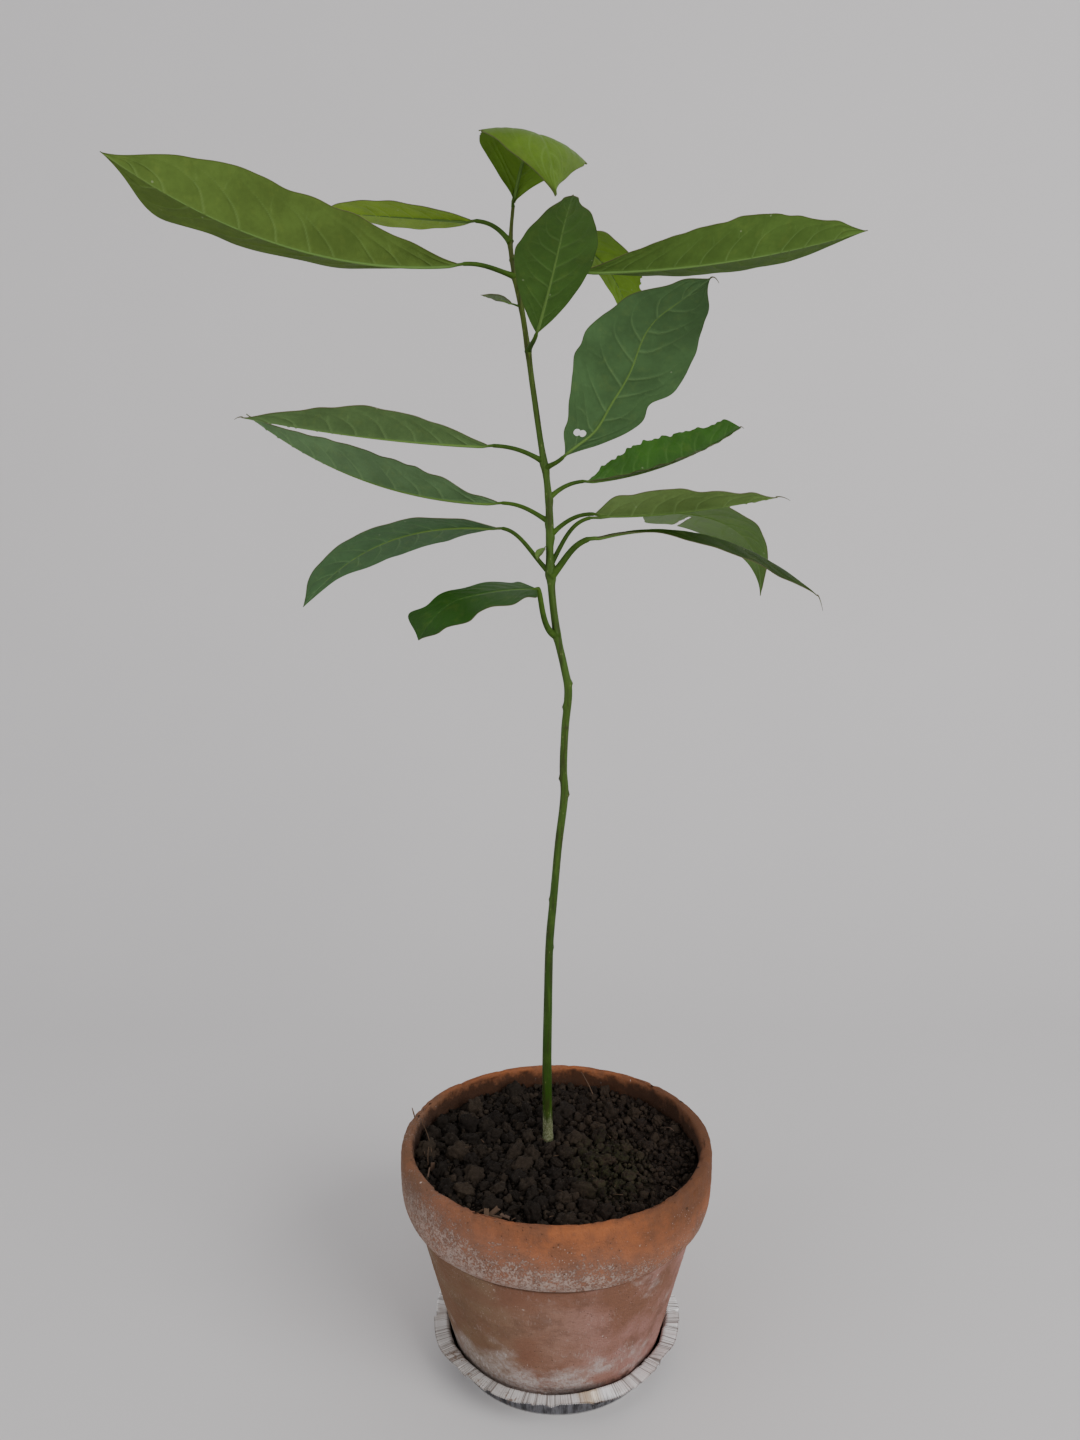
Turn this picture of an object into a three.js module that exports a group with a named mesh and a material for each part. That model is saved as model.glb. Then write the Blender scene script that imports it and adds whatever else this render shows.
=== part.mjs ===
// A young avocado tree in a clay pot that stands in a crimped foil pan.
// Millimetres, +Z up. The origin is the middle of the pan's flat underside.
import * as THREE from "three";

// ---------------------------------------------------------------- driving dimensions
const GAP = 0.3; // clear space where one piece rests on another

// Foil pan: flat floor, flared wall and a flange that is folded down in one place
const PAN_FLOOR_RADIUS = 70.5;
const PAN_FLOOR_THICKNESS = 1.2;
const PAN_WALL_THICKNESS = 1;
const PAN_MOUTH_RADIUS = 77.4;
const PAN_FLANGE_RADIUS = 86.4;
const PAN_FLANGE_HEIGHT = 22.6;
const PAN_LIP_THICKNESS = 0.9; // the flange's outer edge
const PAN_CORNER = 0.8; // bevel between the floor and the wall
const PAN_SEGMENTS = 60;
const FLANGE_FOLD_ANGLE = -65; // degrees from +X
const FLANGE_FOLD_WIDTH = 11; // degrees
const FLANGE_FOLD_DROP = 5;

// Clay pot: a tapered body under a tall, round-edged rim band
const POT_BASE = PAN_FLOOR_THICKNESS + GAP;
const POT_FOOT_RADIUS = 68;
const POT_BODY_RADIUS = 69; // the body cone's radius, carried down to the pan's underside
const POT_BODY_SLOPE = 0.255; // radius gained for each millimetre of height
const FOOT_BEVEL = 2.5; // height of the bevel round the pot's foot
const POT_GROOVE_HEIGHT = 108.8; // where the band's curved lower edge meets the body
const GROOVE_SIZE = 1.6; // height of the narrow groove there, which is half as deep
const POT_RIM_HEIGHT = 157;
const POT_RIM_RADIUS = 107.3;
const POT_MOUTH_RADIUS = 98.5;
const POT_WALL = 8.2;
const POT_FLOOR = 11;
const POT_FLOOR_CORNER = [5, 6]; // inward and upward size of the bevel inside the pot's foot
// The band's lower curve, as [radius short of the rim's, height above the groove]
const BAND_CURVE = [[10.5, 0.7], [7.3, 2.7], [3.3, 6.7], [1.3, 11.7], [0.3, 18.2], [0, 29.2]];
// The rim's round edge, as [radius short of the rim's, depth under its top]
const RIM_CURVE = [[0, 11], [0.1, 5], [0.8, 1.5], [2.6, 0]];
// The mouth's round edge, as [radius beyond the mouth's, depth under the rim's top]
const MOUTH_CURVE = [[2.2, 0], [0.5, 1.2], [0, 3]];
const BAND_INSIDE = 18; // height of the slope inside the band, over the body's wall
const MOUTH_TAPER = 1.6; // radius by which the mouth narrows down to that slope
const POT_SEGMENTS = 40;

// Soil: a plug that fills the pot
const SOIL_HEIGHT = 145;
const SOIL_EDGE_GAP = 1; // from the mouth's radius in to the soil's edge
const SOIL_EDGE_DROP = 1.2; // how much lower the soil lies at the pot's wall
const SOIL_LUMP = 1.3; // height of the soft lumps in its surface
const SOIL_LEVEL_RADIUS = 12; // round the stem, where the surface is level
const SOIL_RINGS = [84, 60, 38, 18]; // radii of the surface's rings inside its edge

// Stem: rows of height, x, y and diameter. It kinks at two old leaf joints.
const STEM_ROWS = [
  [145, -5.6, 17, 7.0],
  [151, -5.7, 17, 6.2],
  [200, -6.4, 15.6, 5.8],
  [250, -5.7, 15, 5.3],
  [290, -4.8, 16, 5.0],
  [325, -1.8, 17.6, 4.8],
  [360, 1.3, 19, 4.7],
  [395, 5.2, 19.8, 4.9],
  [412, 4.4, 19, 4.6],
  [440, 5.4, 17.4, 4.6],
  [466, 7.4, 15.8, 4.9],
  [482, 4.6, 15.6, 4.6],
  [500, 0.5, 16, 4.5],
  [525, -3.0, 17, 4.4],
  [550, -4.8, 17.8, 4.3],
  [575, -5.0, 18.4, 4.2],
  [600, -6.6, 18.8, 3.9],
  [630, -11.4, 18.6, 3.5],
  [665, -16.5, 17.8, 3.3],
  [700, -21.5, 17, 3.2],
  [728, -27.0, 16.4, 2.7],
  [742, -29.4, 16.4, 2.3],
  [755, -29.2, 16.8, 2.1],
  [768, -28.0, 17, 2.0],
];
const STEM_SIDES = 10;
const STEM_STEPS_PER_ROW = 2;

// Leaves
const LEAF_THICKNESS_PER_LENGTH = 0.0105;
const LEAF_LEAST_THICKNESS = 1.2;
const LEAF_COLUMNS = 5; // points across the blade on each face
const BLADE_STEPS = 16;
const STALK_STEPS = 6;
const STALK_FOOT_RADIUS = 1.6;
const STALK_TOP_RADIUS = 1.15;
const STALK_BLEND = 0.07; // share of the blade over which the stalk's round section flattens
const TIP_HALF_WIDTH = 0.7;
const SLIM_STALK = 0.2; // a small leaf's stalk is no thicker than this share of its width
const SLIM_TIP = 0.1;
const ROOT_PULL = 0.38; // share of the stalk that runs on straight where it leaves the stem
const CURL_START = 0.6; // share of the blade where its end starts to curl down
const STALK_SEAT_GAP = 0.4; // from the stem's skin to the stalk's flat end
const STALK_SEAT_LENGTH = 1; // the least length of the stalk's first stretch
const SEAT_PASSES = 4; // the stem leans, so the seat is found in a few steps
const UPRIGHT_CLIMB = 75; // a stalk that climbs more steeply than this grows from the stem's tip

// What a leaf's numbers mean, with the value used where a leaf doesn't state one:
//   foot    height on the stem where the stalk starts
//   stalk   length from the stem's axis to the blade's base, with its turn (degrees from +X),
//           its climb (degrees above level) and the steeper rise at which it leaves the stem;
//           neck is how far it runs on straight before the blade
//   length  from the blade's base to its tip, with its head (degrees from +X) and lift
//   arch    the midrib's upward bow, as a share of length, highest at the share crest;
//           bow is the same to the left, and curl bends the last part of the blade down
//   width   across the blade, widest at the share belly; tip and heel sharpen its two ends
//   roll    degrees that the left margin is raised, growing by twist towards the tip
//   fold    degrees that both halves rise from the midrib
//   bumps   where the outline swells or narrows: [side (1 left, -1 right, 0 both), share of the
//           length, its spread, gain in width]
//   sag     how far both margins hang below the midrib: [share of the length, its spread, drop]
const LEAF_DEFAULTS = {
  rise: 45, neck: 0.38, arch: 0.08, bow: 0, crest: 0.5, curl: 0,
  width: 50, belly: 0.48, tip: 1.25, heel: 0.95, roll: 0, twist: 0, fold: 12,
  bumps: [], sag: [0.5, 1, 0],
};
const LEAVES = {
  leaf_tip_curled: {
    foot: 768, stalk: 3, turn: 270, climb: 80, rise: 85, length: 64, head: 295, lift: -11,
    arch: 0.54, crest: 0.4, width: 70, tip: 1.5, heel: 1.4, roll: -6.5, fold: 3, young: true,
    sag: [0.5, 0.4, 9],
  },
  leaf_top_left_short: {
    foot: 747, stalk: 31, turn: 151, climb: 32, rise: 50, length: 119, head: 157.5, lift: 9,
    arch: 0, width: 36, roll: 13, fold: 3, young: true,
    bumps: [[0, 0.1, 0.07, 0.2], [1, 0.82, 0.12, 0.25]],
  },
  leaf_top_right_folded: {
    foot: 736, stalk: 48, turn: 45, climb: 30, length: 79, head: 33, lift: -40, arch: 0.17,
    width: 55, fold: 6, young: true,
    bumps: [
      [1, 0.6, 0.25, -0.45], [-1, 0.15, 0.15, 0.35], [-1, 0.42, 0.12, -0.12], [-1, 0.8, 0.12, 0.1],
    ],
  },
  leaf_top_left_long: {
    foot: 727, stalk: 34.5, turn: 199, climb: 8, rise: 14, length: 208, head: 203.5, lift: 10.5,
    arch: -0.095, width: 70, belly: 0.55, roll: 17, twist: 32, fold: 30,
    bumps: [
      [1, 0.12, 0.08, 0.15], [1, 0.4, 0.05, -0.08], [1, 0.54, 0.1, -0.16], [1, 0.93, 0.12, 0.35],
      [-1, 0.5, 0.17, -0.46], [-1, 0.69, 0.07, -0.25], [-1, 0.86, 0.07, 0.65],
    ],
  },
  leaf_top_right_long: {
    foot: 719, stalk: 41, turn: 7, climb: 17, rise: 25, length: 195, head: 10, lift: 10,
    arch: -0.033, width: 58, belly: 0.52, roll: -20, twist: -12, fold: 24,
    bumps: [[1, 0.85, 0.16, 0.6], [-1, 0.42, 0.15, -0.08], [-1, 0.93, 0.08, 0.45]],
  },
  leaf_sliver: {
    foot: 709, stalk: 7, turn: 226, climb: 6, rise: 6, length: 26, head: 221, lift: 5, arch: 0.03,
    width: 6, roll: 20, fold: 10,
  },
  leaf_front_upper: {
    foot: 682, stalk: 19.5, turn: 288, climb: 25, rise: 35, length: 112, head: 281.2, lift: 32,
    arch: 0.06, bow: 0.03, curl: 0.08, width: 48, fold: 10,
    bumps: [
      [0, 0.1, 0.08, 0.05], [-1, 0.7, 0.12, -0.16], [0, 0.86, 0.05, -0.12], [0, 0.95, 0.03, 0.5],
    ],
  },
  leaf_left_middle_front: {
    foot: 614, stalk: 35.5, turn: 192, climb: 16, rise: 30, length: 153.5, head: 195, lift: 5,
    arch: -0.02, width: 48, heel: 1.2, roll: 12, fold: 31,
    bumps: [[1, 0.36, 0.12, -0.07], [1, 0.93, 0.1, 0.3]],
  },
  leaf_front_right_holed: {
    foot: 610, stalk: 16.5, turn: 323, climb: 25, rise: 25, length: 143, head: 314.5, lift: 46,
    arch: 0, bow: 0.085, curl: 0.13, width: 72, heel: 1.2, roll: -30, fold: 8,
    bumps: [
      [1, 0.38, 0.06, -0.25], [1, 0.5, 0.3, -0.07], [1, 0.9, 0.12, 0.35], [-1, 0.06, 0.05, 0.5],
      [-1, 0.6, 0.2, 0.06], [-1, 0.77, 0.06, 0.1], [-1, 0.94, 0.06, 0.45],
    ],
  },
  leaf_right_middle_wavy: {
    foot: 591, stalk: 28.5, turn: 25, climb: 24, rise: 40, length: 122.5, head: 21, lift: 18.5,
    arch: -0.06, width: 42, belly: 0.56, tip: 0.85, roll: 26, fold: 33,
    bumps: [
      [1, 0.12, 0.08, 0.5], [1, 0.3, 0.15, 0.22], [1, 0.66, 0.12, -0.08], [1, 0.93, 0.05, 0.4],
    ],
  },
  leaf_left_middle_back: {
    foot: 576, stalk: 36, turn: 161, climb: 20.5, rise: 30, length: 186, head: 169.5, lift: 19,
    arch: -0.082, width: 53, roll: 19, fold: 28,
    bumps: [[1, 0.1, 0.04, -0.25], [1, 0.2, 0.04, 0.12], [1, 0.3, 0.03, 0.1]],
  },
  leaf_right_middle_scarred: {
    foot: 567, stalk: 32.5, turn: 350, climb: 25.5, length: 115, head: 347, lift: 5, arch: -0.03,
    crest: 0.38, width: 53, belly: 0.42, roll: -9, fold: 22,
    bumps: [[-1, 0.12, 0.08, 0.35], [-1, 0.6, 0.08, -0.12], [-1, 0.9, 0.06, 0.6]],
  },
  leaf_bud: {
    foot: 561, stalk: 4.5, turn: 223, climb: -11, rise: 0, length: 11.5, head: 229, lift: -46,
    arch: 0.1, width: 7, fold: 10, young: true,
  },
  leaf_right_lower_drooping: {
    foot: 548, stalk: 44, turn: 29, climb: 45, rise: 55, length: 151.5, head: 26.5, lift: -21,
    arch: 0.24, crest: 0.85, width: 62, heel: 1.5, roll: -20, twist: 23, fold: 4,
    bumps: [
      [1, 0.13, 0.19, -0.94], [1, 0.44, 0.17, 0.8], [1, 0.74, 0.16, 1.1], [-1, 0.5, 0.15, -0.12],
      [-1, 0.62, 0.08, -0.08],
    ],
  },
  leaf_left_lower_arched: {
    foot: 543, stalk: 44, turn: 166, climb: 41.5, rise: 42, neck: 0.3, length: 156, head: 164,
    lift: -20, arch: 0.13, crest: 0.54, width: 48, belly: 0.52, tip: 1.05, roll: 22, fold: 2,
    bumps: [
      [1, 0.12, 0.06, 0.3], [1, 0.5, 0.13, -0.14], [1, 0.87, 0.08, 0.35], [-1, 0.25, 0.17, 0.22],
      [-1, 0.85, 0.13, -0.45],
    ],
  },
  leaf_right_lower_narrow: {
    foot: 541, stalk: 35, turn: 353.5, climb: 44, rise: 44, length: 149.5, head: 350.5, lift: -13.6,
    arch: 0.135, crest: 0.47, width: 46, belly: 0.54, tip: 1, roll: 5, fold: -10,
    bumps: [[0, 0.2, 0.17, -0.55], [-1, 0.45, 0.15, 0.08], [-1, 0.86, 0.1, 0.5]],
  },
  leaf_left_lowest_glossy: {
    foot: 502.5, stalk: 34.5, turn: 209.5, climb: 64, rise: 8, neck: 0.1, length: 87, head: 208,
    lift: -10, arch: 0.055, curl: 0.17, width: 43, tip: 0.9, roll: -20, fold: -2,
    bumps: [
      [-1, 0.92, 0.07, 2.3], [1, 0.3, 0.1, 0.1], [1, 0.8, 0.14, 0.75], [1, 0.95, 0.05, 0.8],
      [1, 0.48, 0.1, -0.14], [-1, 0.5, 0.17, -0.36],
    ],
  },
};

// ---------------------------------------------------------------- finishes
const FOIL = new THREE.MeshStandardMaterial({ color: 0xb9babb, roughness: 0.35, metalness: 1 });
const CLAY = new THREE.MeshStandardMaterial({ color: 0xb07458, roughness: 0.85, metalness: 0 });
const EARTH = new THREE.MeshStandardMaterial({ color: 0x33261d, roughness: 0.95, metalness: 0 });
const BARK = new THREE.MeshStandardMaterial({ color: 0x445a24, roughness: 0.55, metalness: 0 });
const LEAF = new THREE.MeshStandardMaterial({ color: 0x4c6a31, roughness: 0.4, metalness: 0 });
const YOUNG_LEAF = new THREE.MeshStandardMaterial({ color: 0x7d9a38, roughness: 0.4, metalness: 0 });

// ---------------------------------------------------------------- small tools
const radians = THREE.MathUtils.degToRad;

// A unit vector that points turn degrees from +X and climb degrees above level.
function heading(turn, climb) {
  const level = Math.cos(radians(climb));
  return new THREE.Vector3(
    Math.cos(radians(turn)) * level,
    Math.sin(radians(turn)) * level,
    Math.sin(radians(climb)),
  );
}

// One column of a table of rows, read smoothly at a height between its first and last row.
function readRows(rows, height, column) {
  const last = rows.length - 1;
  let low = 0;
  while (low < last - 1 && rows[low + 1][0] < height) {
    low += 1;
  }
  const slope = (row) => {
    const before = rows[Math.max(row - 1, 0)];
    const after = rows[Math.min(row + 1, last)];
    return (after[column] - before[column]) / (after[0] - before[0]);
  };
  const span = rows[low + 1][0] - rows[low][0];
  const t = THREE.MathUtils.clamp((height - rows[low][0]) / span, 0, 1);
  const rise = t * t * (3 - 2 * t);
  return rows[low][column] * (1 - rise) + rows[low + 1][column] * rise
    + slope(low) * span * t * (1 - t) * (1 - t) - slope(low + 1) * span * t * t * (1 - t);
}

function stemPoint(height) {
  return new THREE.Vector3(readRows(STEM_ROWS, height, 1), readRows(STEM_ROWS, height, 2), height);
}

function stemRadius(height) {
  return readRows(STEM_ROWS, height, 3) / 2;
}

// A closed solid through rings of points. Each ring runs anticlockwise, seen from ahead, and
// both end rings are closed by a strip between their first and second halves.
function loft(rings) {
  const count = rings[0].length;
  const positions = rings.flat().flatMap((point) => [point.x, point.y, point.z]);
  const faces = [];
  for (let ring = 0; ring < rings.length - 1; ring += 1) {
    for (let side = 0; side < count; side += 1) {
      const next = (side + 1) % count;
      const near = ring * count;
      const far = near + count;
      faces.push(near + side, near + next, far + next, near + side, far + next, far + side);
    }
  }
  const end = (rings.length - 1) * count;
  for (let side = 0; side < count / 2 - 1; side += 1) {
    const across = count - 1 - side;
    faces.push(across, side + 1, side, across, across - 1, side + 1);
    faces.push(end + across, end + side, end + side + 1);
    faces.push(end + across, end + side + 1, end + across - 1);
  }
  const geometry = new THREE.BufferGeometry();
  geometry.setAttribute("position", new THREE.Float32BufferAttribute(positions, 3));
  geometry.setIndex(faces);
  geometry.computeVertexNormals();
  return geometry;
}

// A turned solid from its [radius, height] profile, which starts and ends on the axis at its
// foot and top. reshape moves each point, given its radius, its angle in degrees and its height.
function turned(profile, segments, reshape) {
  const points = profile.map(([radius, height]) => new THREE.Vector2(radius, height));
  const geometry = new THREE.LatheGeometry(points, segments);
  geometry.rotateX(Math.PI / 2);
  const position = geometry.getAttribute("position");
  for (let index = 0; reshape && index < position.count; index += 1) {
    const x = position.getX(index);
    const y = position.getY(index);
    const angle = Math.atan2(y, x);
    const moved = reshape(Math.hypot(x, y), THREE.MathUtils.radToDeg(angle), position.getZ(index));
    const atSeam = Math.abs(x) < 1e-6;
    position.setXYZ(index, atSeam ? 0 : moved.radius * Math.cos(angle),
      moved.radius * Math.sin(angle), moved.height);
  }
  geometry.computeVertexNormals();
  return geometry;
}

// ---------------------------------------------------------------- foil pan
// How far the pan's mouth is pressed in or pulled out at an angle.
function panDent(degrees) {
  const angle = radians(degrees);
  return 0.7 * Math.sin(3 * angle + 0.6) + 0.45 * Math.sin(7 * angle + 2) + 0.3 * Math.sin(11 * angle);
}

// How far the flange's outer edge is folded down at an angle.
function flangeDrop(degrees) {
  const away = (degrees - FLANGE_FOLD_ANGLE) / FLANGE_FOLD_WIDTH;
  return FLANGE_FOLD_DROP * Math.exp(-away * away);
}

function panGeometry() {
  const top = PAN_FLANGE_HEIGHT;
  const wall = PAN_WALL_THICKNESS;
  const profile = [
    [0, 0],
    [PAN_FLOOR_RADIUS - PAN_CORNER, 0],
    [PAN_FLOOR_RADIUS, PAN_CORNER],
    [PAN_MOUTH_RADIUS, top - wall],
    [PAN_FLANGE_RADIUS - wall, top - wall],
    [PAN_FLANGE_RADIUS, top - PAN_LIP_THICKNESS],
    [PAN_FLANGE_RADIUS, top],
    [PAN_MOUTH_RADIUS - wall / 2, top],
    [PAN_FLOOR_RADIUS - wall + 0.3, PAN_FLOOR_THICKNESS + PAN_CORNER],
    [PAN_FLOOR_RADIUS - wall - PAN_CORNER, PAN_FLOOR_THICKNESS],
    [0, PAN_FLOOR_THICKNESS],
  ];
  return turned(profile, PAN_SEGMENTS, (radius, degrees, height) => {
    const up = height / top;
    const out = Math.max(0, (radius - PAN_MOUTH_RADIUS) / (PAN_FLANGE_RADIUS - PAN_MOUTH_RADIUS));
    return {
      radius: radius + panDent(degrees) * up * up - flangeDrop(degrees) * out * 0.3,
      height: height - flangeDrop(degrees) * out,
    };
  });
}

// ---------------------------------------------------------------- clay pot and soil
function bodyRadius(height) {
  return POT_BODY_RADIUS + POT_BODY_SLOPE * height;
}

// The inside of the pot, from its floor up to the level where the rim's round edge starts.
function potInside(inset) {
  const floor = POT_BASE + POT_FLOOR;
  const [inward, upward] = POT_FLOOR_CORNER;
  return [
    [bodyRadius(floor) - POT_WALL - inward - inset, floor + inset],
    [bodyRadius(floor + upward) - POT_WALL - inset, floor + upward + inset],
    [bodyRadius(POT_GROOVE_HEIGHT) - POT_WALL - inset, POT_GROOVE_HEIGHT],
    [POT_MOUTH_RADIUS - MOUTH_TAPER - inset, POT_GROOVE_HEIGHT + BAND_INSIDE],
  ];
}

function potGeometry() {
  const groove = POT_GROOVE_HEIGHT;
  const profile = [
    [0, POT_BASE],
    [POT_FOOT_RADIUS, POT_BASE],
    [bodyRadius(POT_BASE + FOOT_BEVEL), POT_BASE + FOOT_BEVEL],
    [bodyRadius(groove - GROOVE_SIZE), groove - GROOVE_SIZE],
    [bodyRadius(groove) - GROOVE_SIZE / 2, groove],
    ...BAND_CURVE.map(([short, above]) => [POT_RIM_RADIUS - short, groove + above]),
    ...RIM_CURVE.map(([short, under]) => [POT_RIM_RADIUS - short, POT_RIM_HEIGHT - under]),
    ...MOUTH_CURVE.map(([beyond, under]) => [POT_MOUTH_RADIUS + beyond, POT_RIM_HEIGHT - under]),
    ...potInside(0).reverse(),
    [0, POT_BASE + POT_FLOOR],
  ];
  return turned(profile, POT_SEGMENTS);
}

// Soft lumps in the soil's surface. They fade out towards the stem and the pot's wall.
function soilLump(radius, degrees) {
  const edge = POT_MOUTH_RADIUS - SOIL_EDGE_GAP;
  const x = radius * Math.cos(radians(degrees));
  const y = radius * Math.sin(radians(degrees));
  const foot = stemPoint(SOIL_HEIGHT);
  const away = Math.hypot(x - foot.x, y - foot.y) / SOIL_LEVEL_RADIUS;
  const fade = THREE.MathUtils.clamp(away - 1, 0, 1);
  const waves = Math.sin(x / 13 + 1) * Math.cos(y / 11) + 0.6 * Math.sin(x / 7 - y / 9 + 2);
  const edgeDrop = SOIL_EDGE_DROP * (radius / edge) ** 4;
  return fade * (SOIL_LUMP * waves * (1 - (radius / edge) ** 6) - edgeDrop);
}

function soilGeometry() {
  const inside = potInside(GAP);
  const wallTop = inside[inside.length - 1];
  const profile = [
    [0, inside[0][1]],
    ...inside,
    [POT_MOUTH_RADIUS - SOIL_EDGE_GAP - GAP, SOIL_HEIGHT],
    ...SOIL_RINGS.map((radius) => [radius, SOIL_HEIGHT]),
    [0, SOIL_HEIGHT],
  ];
  return turned(profile, POT_SEGMENTS, (radius, degrees, height) => ({
    radius,
    height: height > wallTop[1] + GAP ? height + soilLump(radius, degrees) : height,
  }));
}

// ---------------------------------------------------------------- stem
function stemGeometry() {
  const heights = [STEM_ROWS[0][0] + GAP];
  for (let row = 0; row < STEM_ROWS.length - 1; row += 1) {
    const from = STEM_ROWS[row][0];
    const to = STEM_ROWS[row + 1][0];
    for (let step = 1; step <= STEM_STEPS_PER_ROW; step += 1) {
      heights.push(from + (to - from) * step / STEM_STEPS_PER_ROW);
    }
  }
  return loft(heights.map((height) => {
    const centre = stemPoint(height);
    const radius = stemRadius(height);
    return Array.from({ length: STEM_SIDES }, (_, side) => {
      const angle = 2 * Math.PI * (side + 0.5) / STEM_SIDES;
      return new THREE.Vector3(
        centre.x + radius * Math.cos(angle),
        centre.y + radius * Math.sin(angle),
        height,
      );
    });
  }));
}

// ---------------------------------------------------------------- leaves
// The directions across and out of a leaf where its line runs along ahead.
function leafFrame(ahead, left, roll) {
  const flatUp = new THREE.Vector3().crossVectors(ahead, left).normalize();
  const flatLeft = new THREE.Vector3().crossVectors(flatUp, ahead);
  const cos = Math.cos(radians(roll));
  const sin = Math.sin(radians(roll));
  return {
    side: flatLeft.clone().multiplyScalar(cos).addScaledVector(flatUp, sin),
    up: flatUp.clone().multiplyScalar(cos).addScaledVector(flatLeft, -sin),
  };
}

// The lines that a leaf follows: its midrib and its stalk, which meet at the blade's base.
function leafLines(leaf) {
  const root = stemPoint(leaf.foot);
  const base = root.clone().addScaledVector(heading(leaf.turn, leaf.climb), leaf.stalk);
  const reach = heading(leaf.head, leaf.lift);
  const left = heading(leaf.head + 90, 0);
  const up = new THREE.Vector3().crossVectors(reach, left);
  const crown = base.clone()
    .addScaledVector(reach, leaf.length * leaf.crest)
    .addScaledVector(up, leaf.length * 2 * leaf.arch)
    .addScaledVector(left, leaf.length * 2 * leaf.bow);
  const tip = base.clone().addScaledVector(reach, leaf.length);
  const midrib = new THREE.QuadraticBezierCurve3(base, crown, tip);
  const stalk = new THREE.CubicBezierCurve3(
    root,
    root.clone().addScaledVector(heading(leaf.turn, leaf.rise), leaf.stalk * ROOT_PULL),
    base.clone().addScaledVector(midrib.getTangent(0), -leaf.stalk * leaf.neck),
    base,
  );
  return { left, up, midrib, stalk };
}

// How near a share of the length is to a place: 1 there, less with distance.
function nearness(share, place, spread) {
  return Math.exp(-(((share - place) / spread) ** 2));
}

// Half the blade's width on one side, 1 for its left and -1 for its right, at a share of its
// length.
function halfWidth(leaf, share, side) {
  const skew = Math.log(0.5) / Math.log(leaf.belly);
  const sharpness = leaf.heel + (leaf.tip - leaf.heel) * share;
  const bulge = Math.max(0, Math.sin(Math.PI * share ** skew));
  const gain = leaf.bumps
    .filter(([at]) => at === 0 || at === side)
    .reduce((all, [, place, spread, grow]) => all * (1 + grow * nearness(share, place, spread)), 1);
  const narrow = Math.min(TIP_HALF_WIDTH, leaf.width * SLIM_TIP);
  return Math.max(leaf.width / 2 * bulge ** sharpness * gain, narrow);
}

// A ring of the stalk: a round section with one point for each point of a blade's ring.
function stalkRing(centre, frame, radius) {
  const count = 2 * LEAF_COLUMNS;
  return Array.from({ length: count }, (_, point) => {
    const angle = 2 * Math.PI * (point + 0.5) / count;
    return centre.clone()
      .addScaledVector(frame.side, radius * Math.cos(angle))
      .addScaledVector(frame.up, radius * Math.sin(angle));
  });
}

// A ring of the blade: the upper face from the left margin to the right, and back underneath.
function bladeRing(leaf, share, centre, frame, thickness) {
  const fold = radians(leaf.fold);
  const [sagPlace, sagSpread, sagDrop] = leaf.sag;
  const drop = sagDrop * nearness(share, sagPlace, sagSpread);
  const face = (across, lift) => {
    const half = halfWidth(leaf, share, across < 0 ? -1 : 1);
    const rise = half * Math.abs(across) * Math.sin(fold) - drop * across ** 2;
    return centre.clone()
      .addScaledVector(frame.side, half * across * Math.cos(fold))
      .addScaledVector(frame.up, rise + lift);
  };
  const columns = Array.from(
    { length: LEAF_COLUMNS },
    (_, column) => 1 - 2 * column / (LEAF_COLUMNS - 1),
  );
  return [
    ...columns.map((across) => face(across, thickness / 2)),
    ...columns.map((across) => face(-across, -thickness / 2)),
  ];
}

// The stalk's first ring is slid along the stalk to lie flat against the stem's side, or its tip.
function seatRing(ring, leaf, ahead) {
  const onTip = leaf.climb > UPRIGHT_CLIMB;
  const outward = onTip ? new THREE.Vector3(0, 0, 1) : heading(leaf.turn, 0);
  return ring.map((point) => {
    const seated = point.clone();
    for (let pass = 0; pass < SEAT_PASSES; pass += 1) {
      const height = onTip ? leaf.foot : seated.z;
      const clear = onTip ? GAP : stemRadius(height) + STALK_SEAT_GAP;
      const short = clear - seated.clone().sub(stemPoint(height)).dot(outward);
      seated.addScaledVector(ahead, short / ahead.dot(outward));
    }
    return seated;
  });
}

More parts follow.
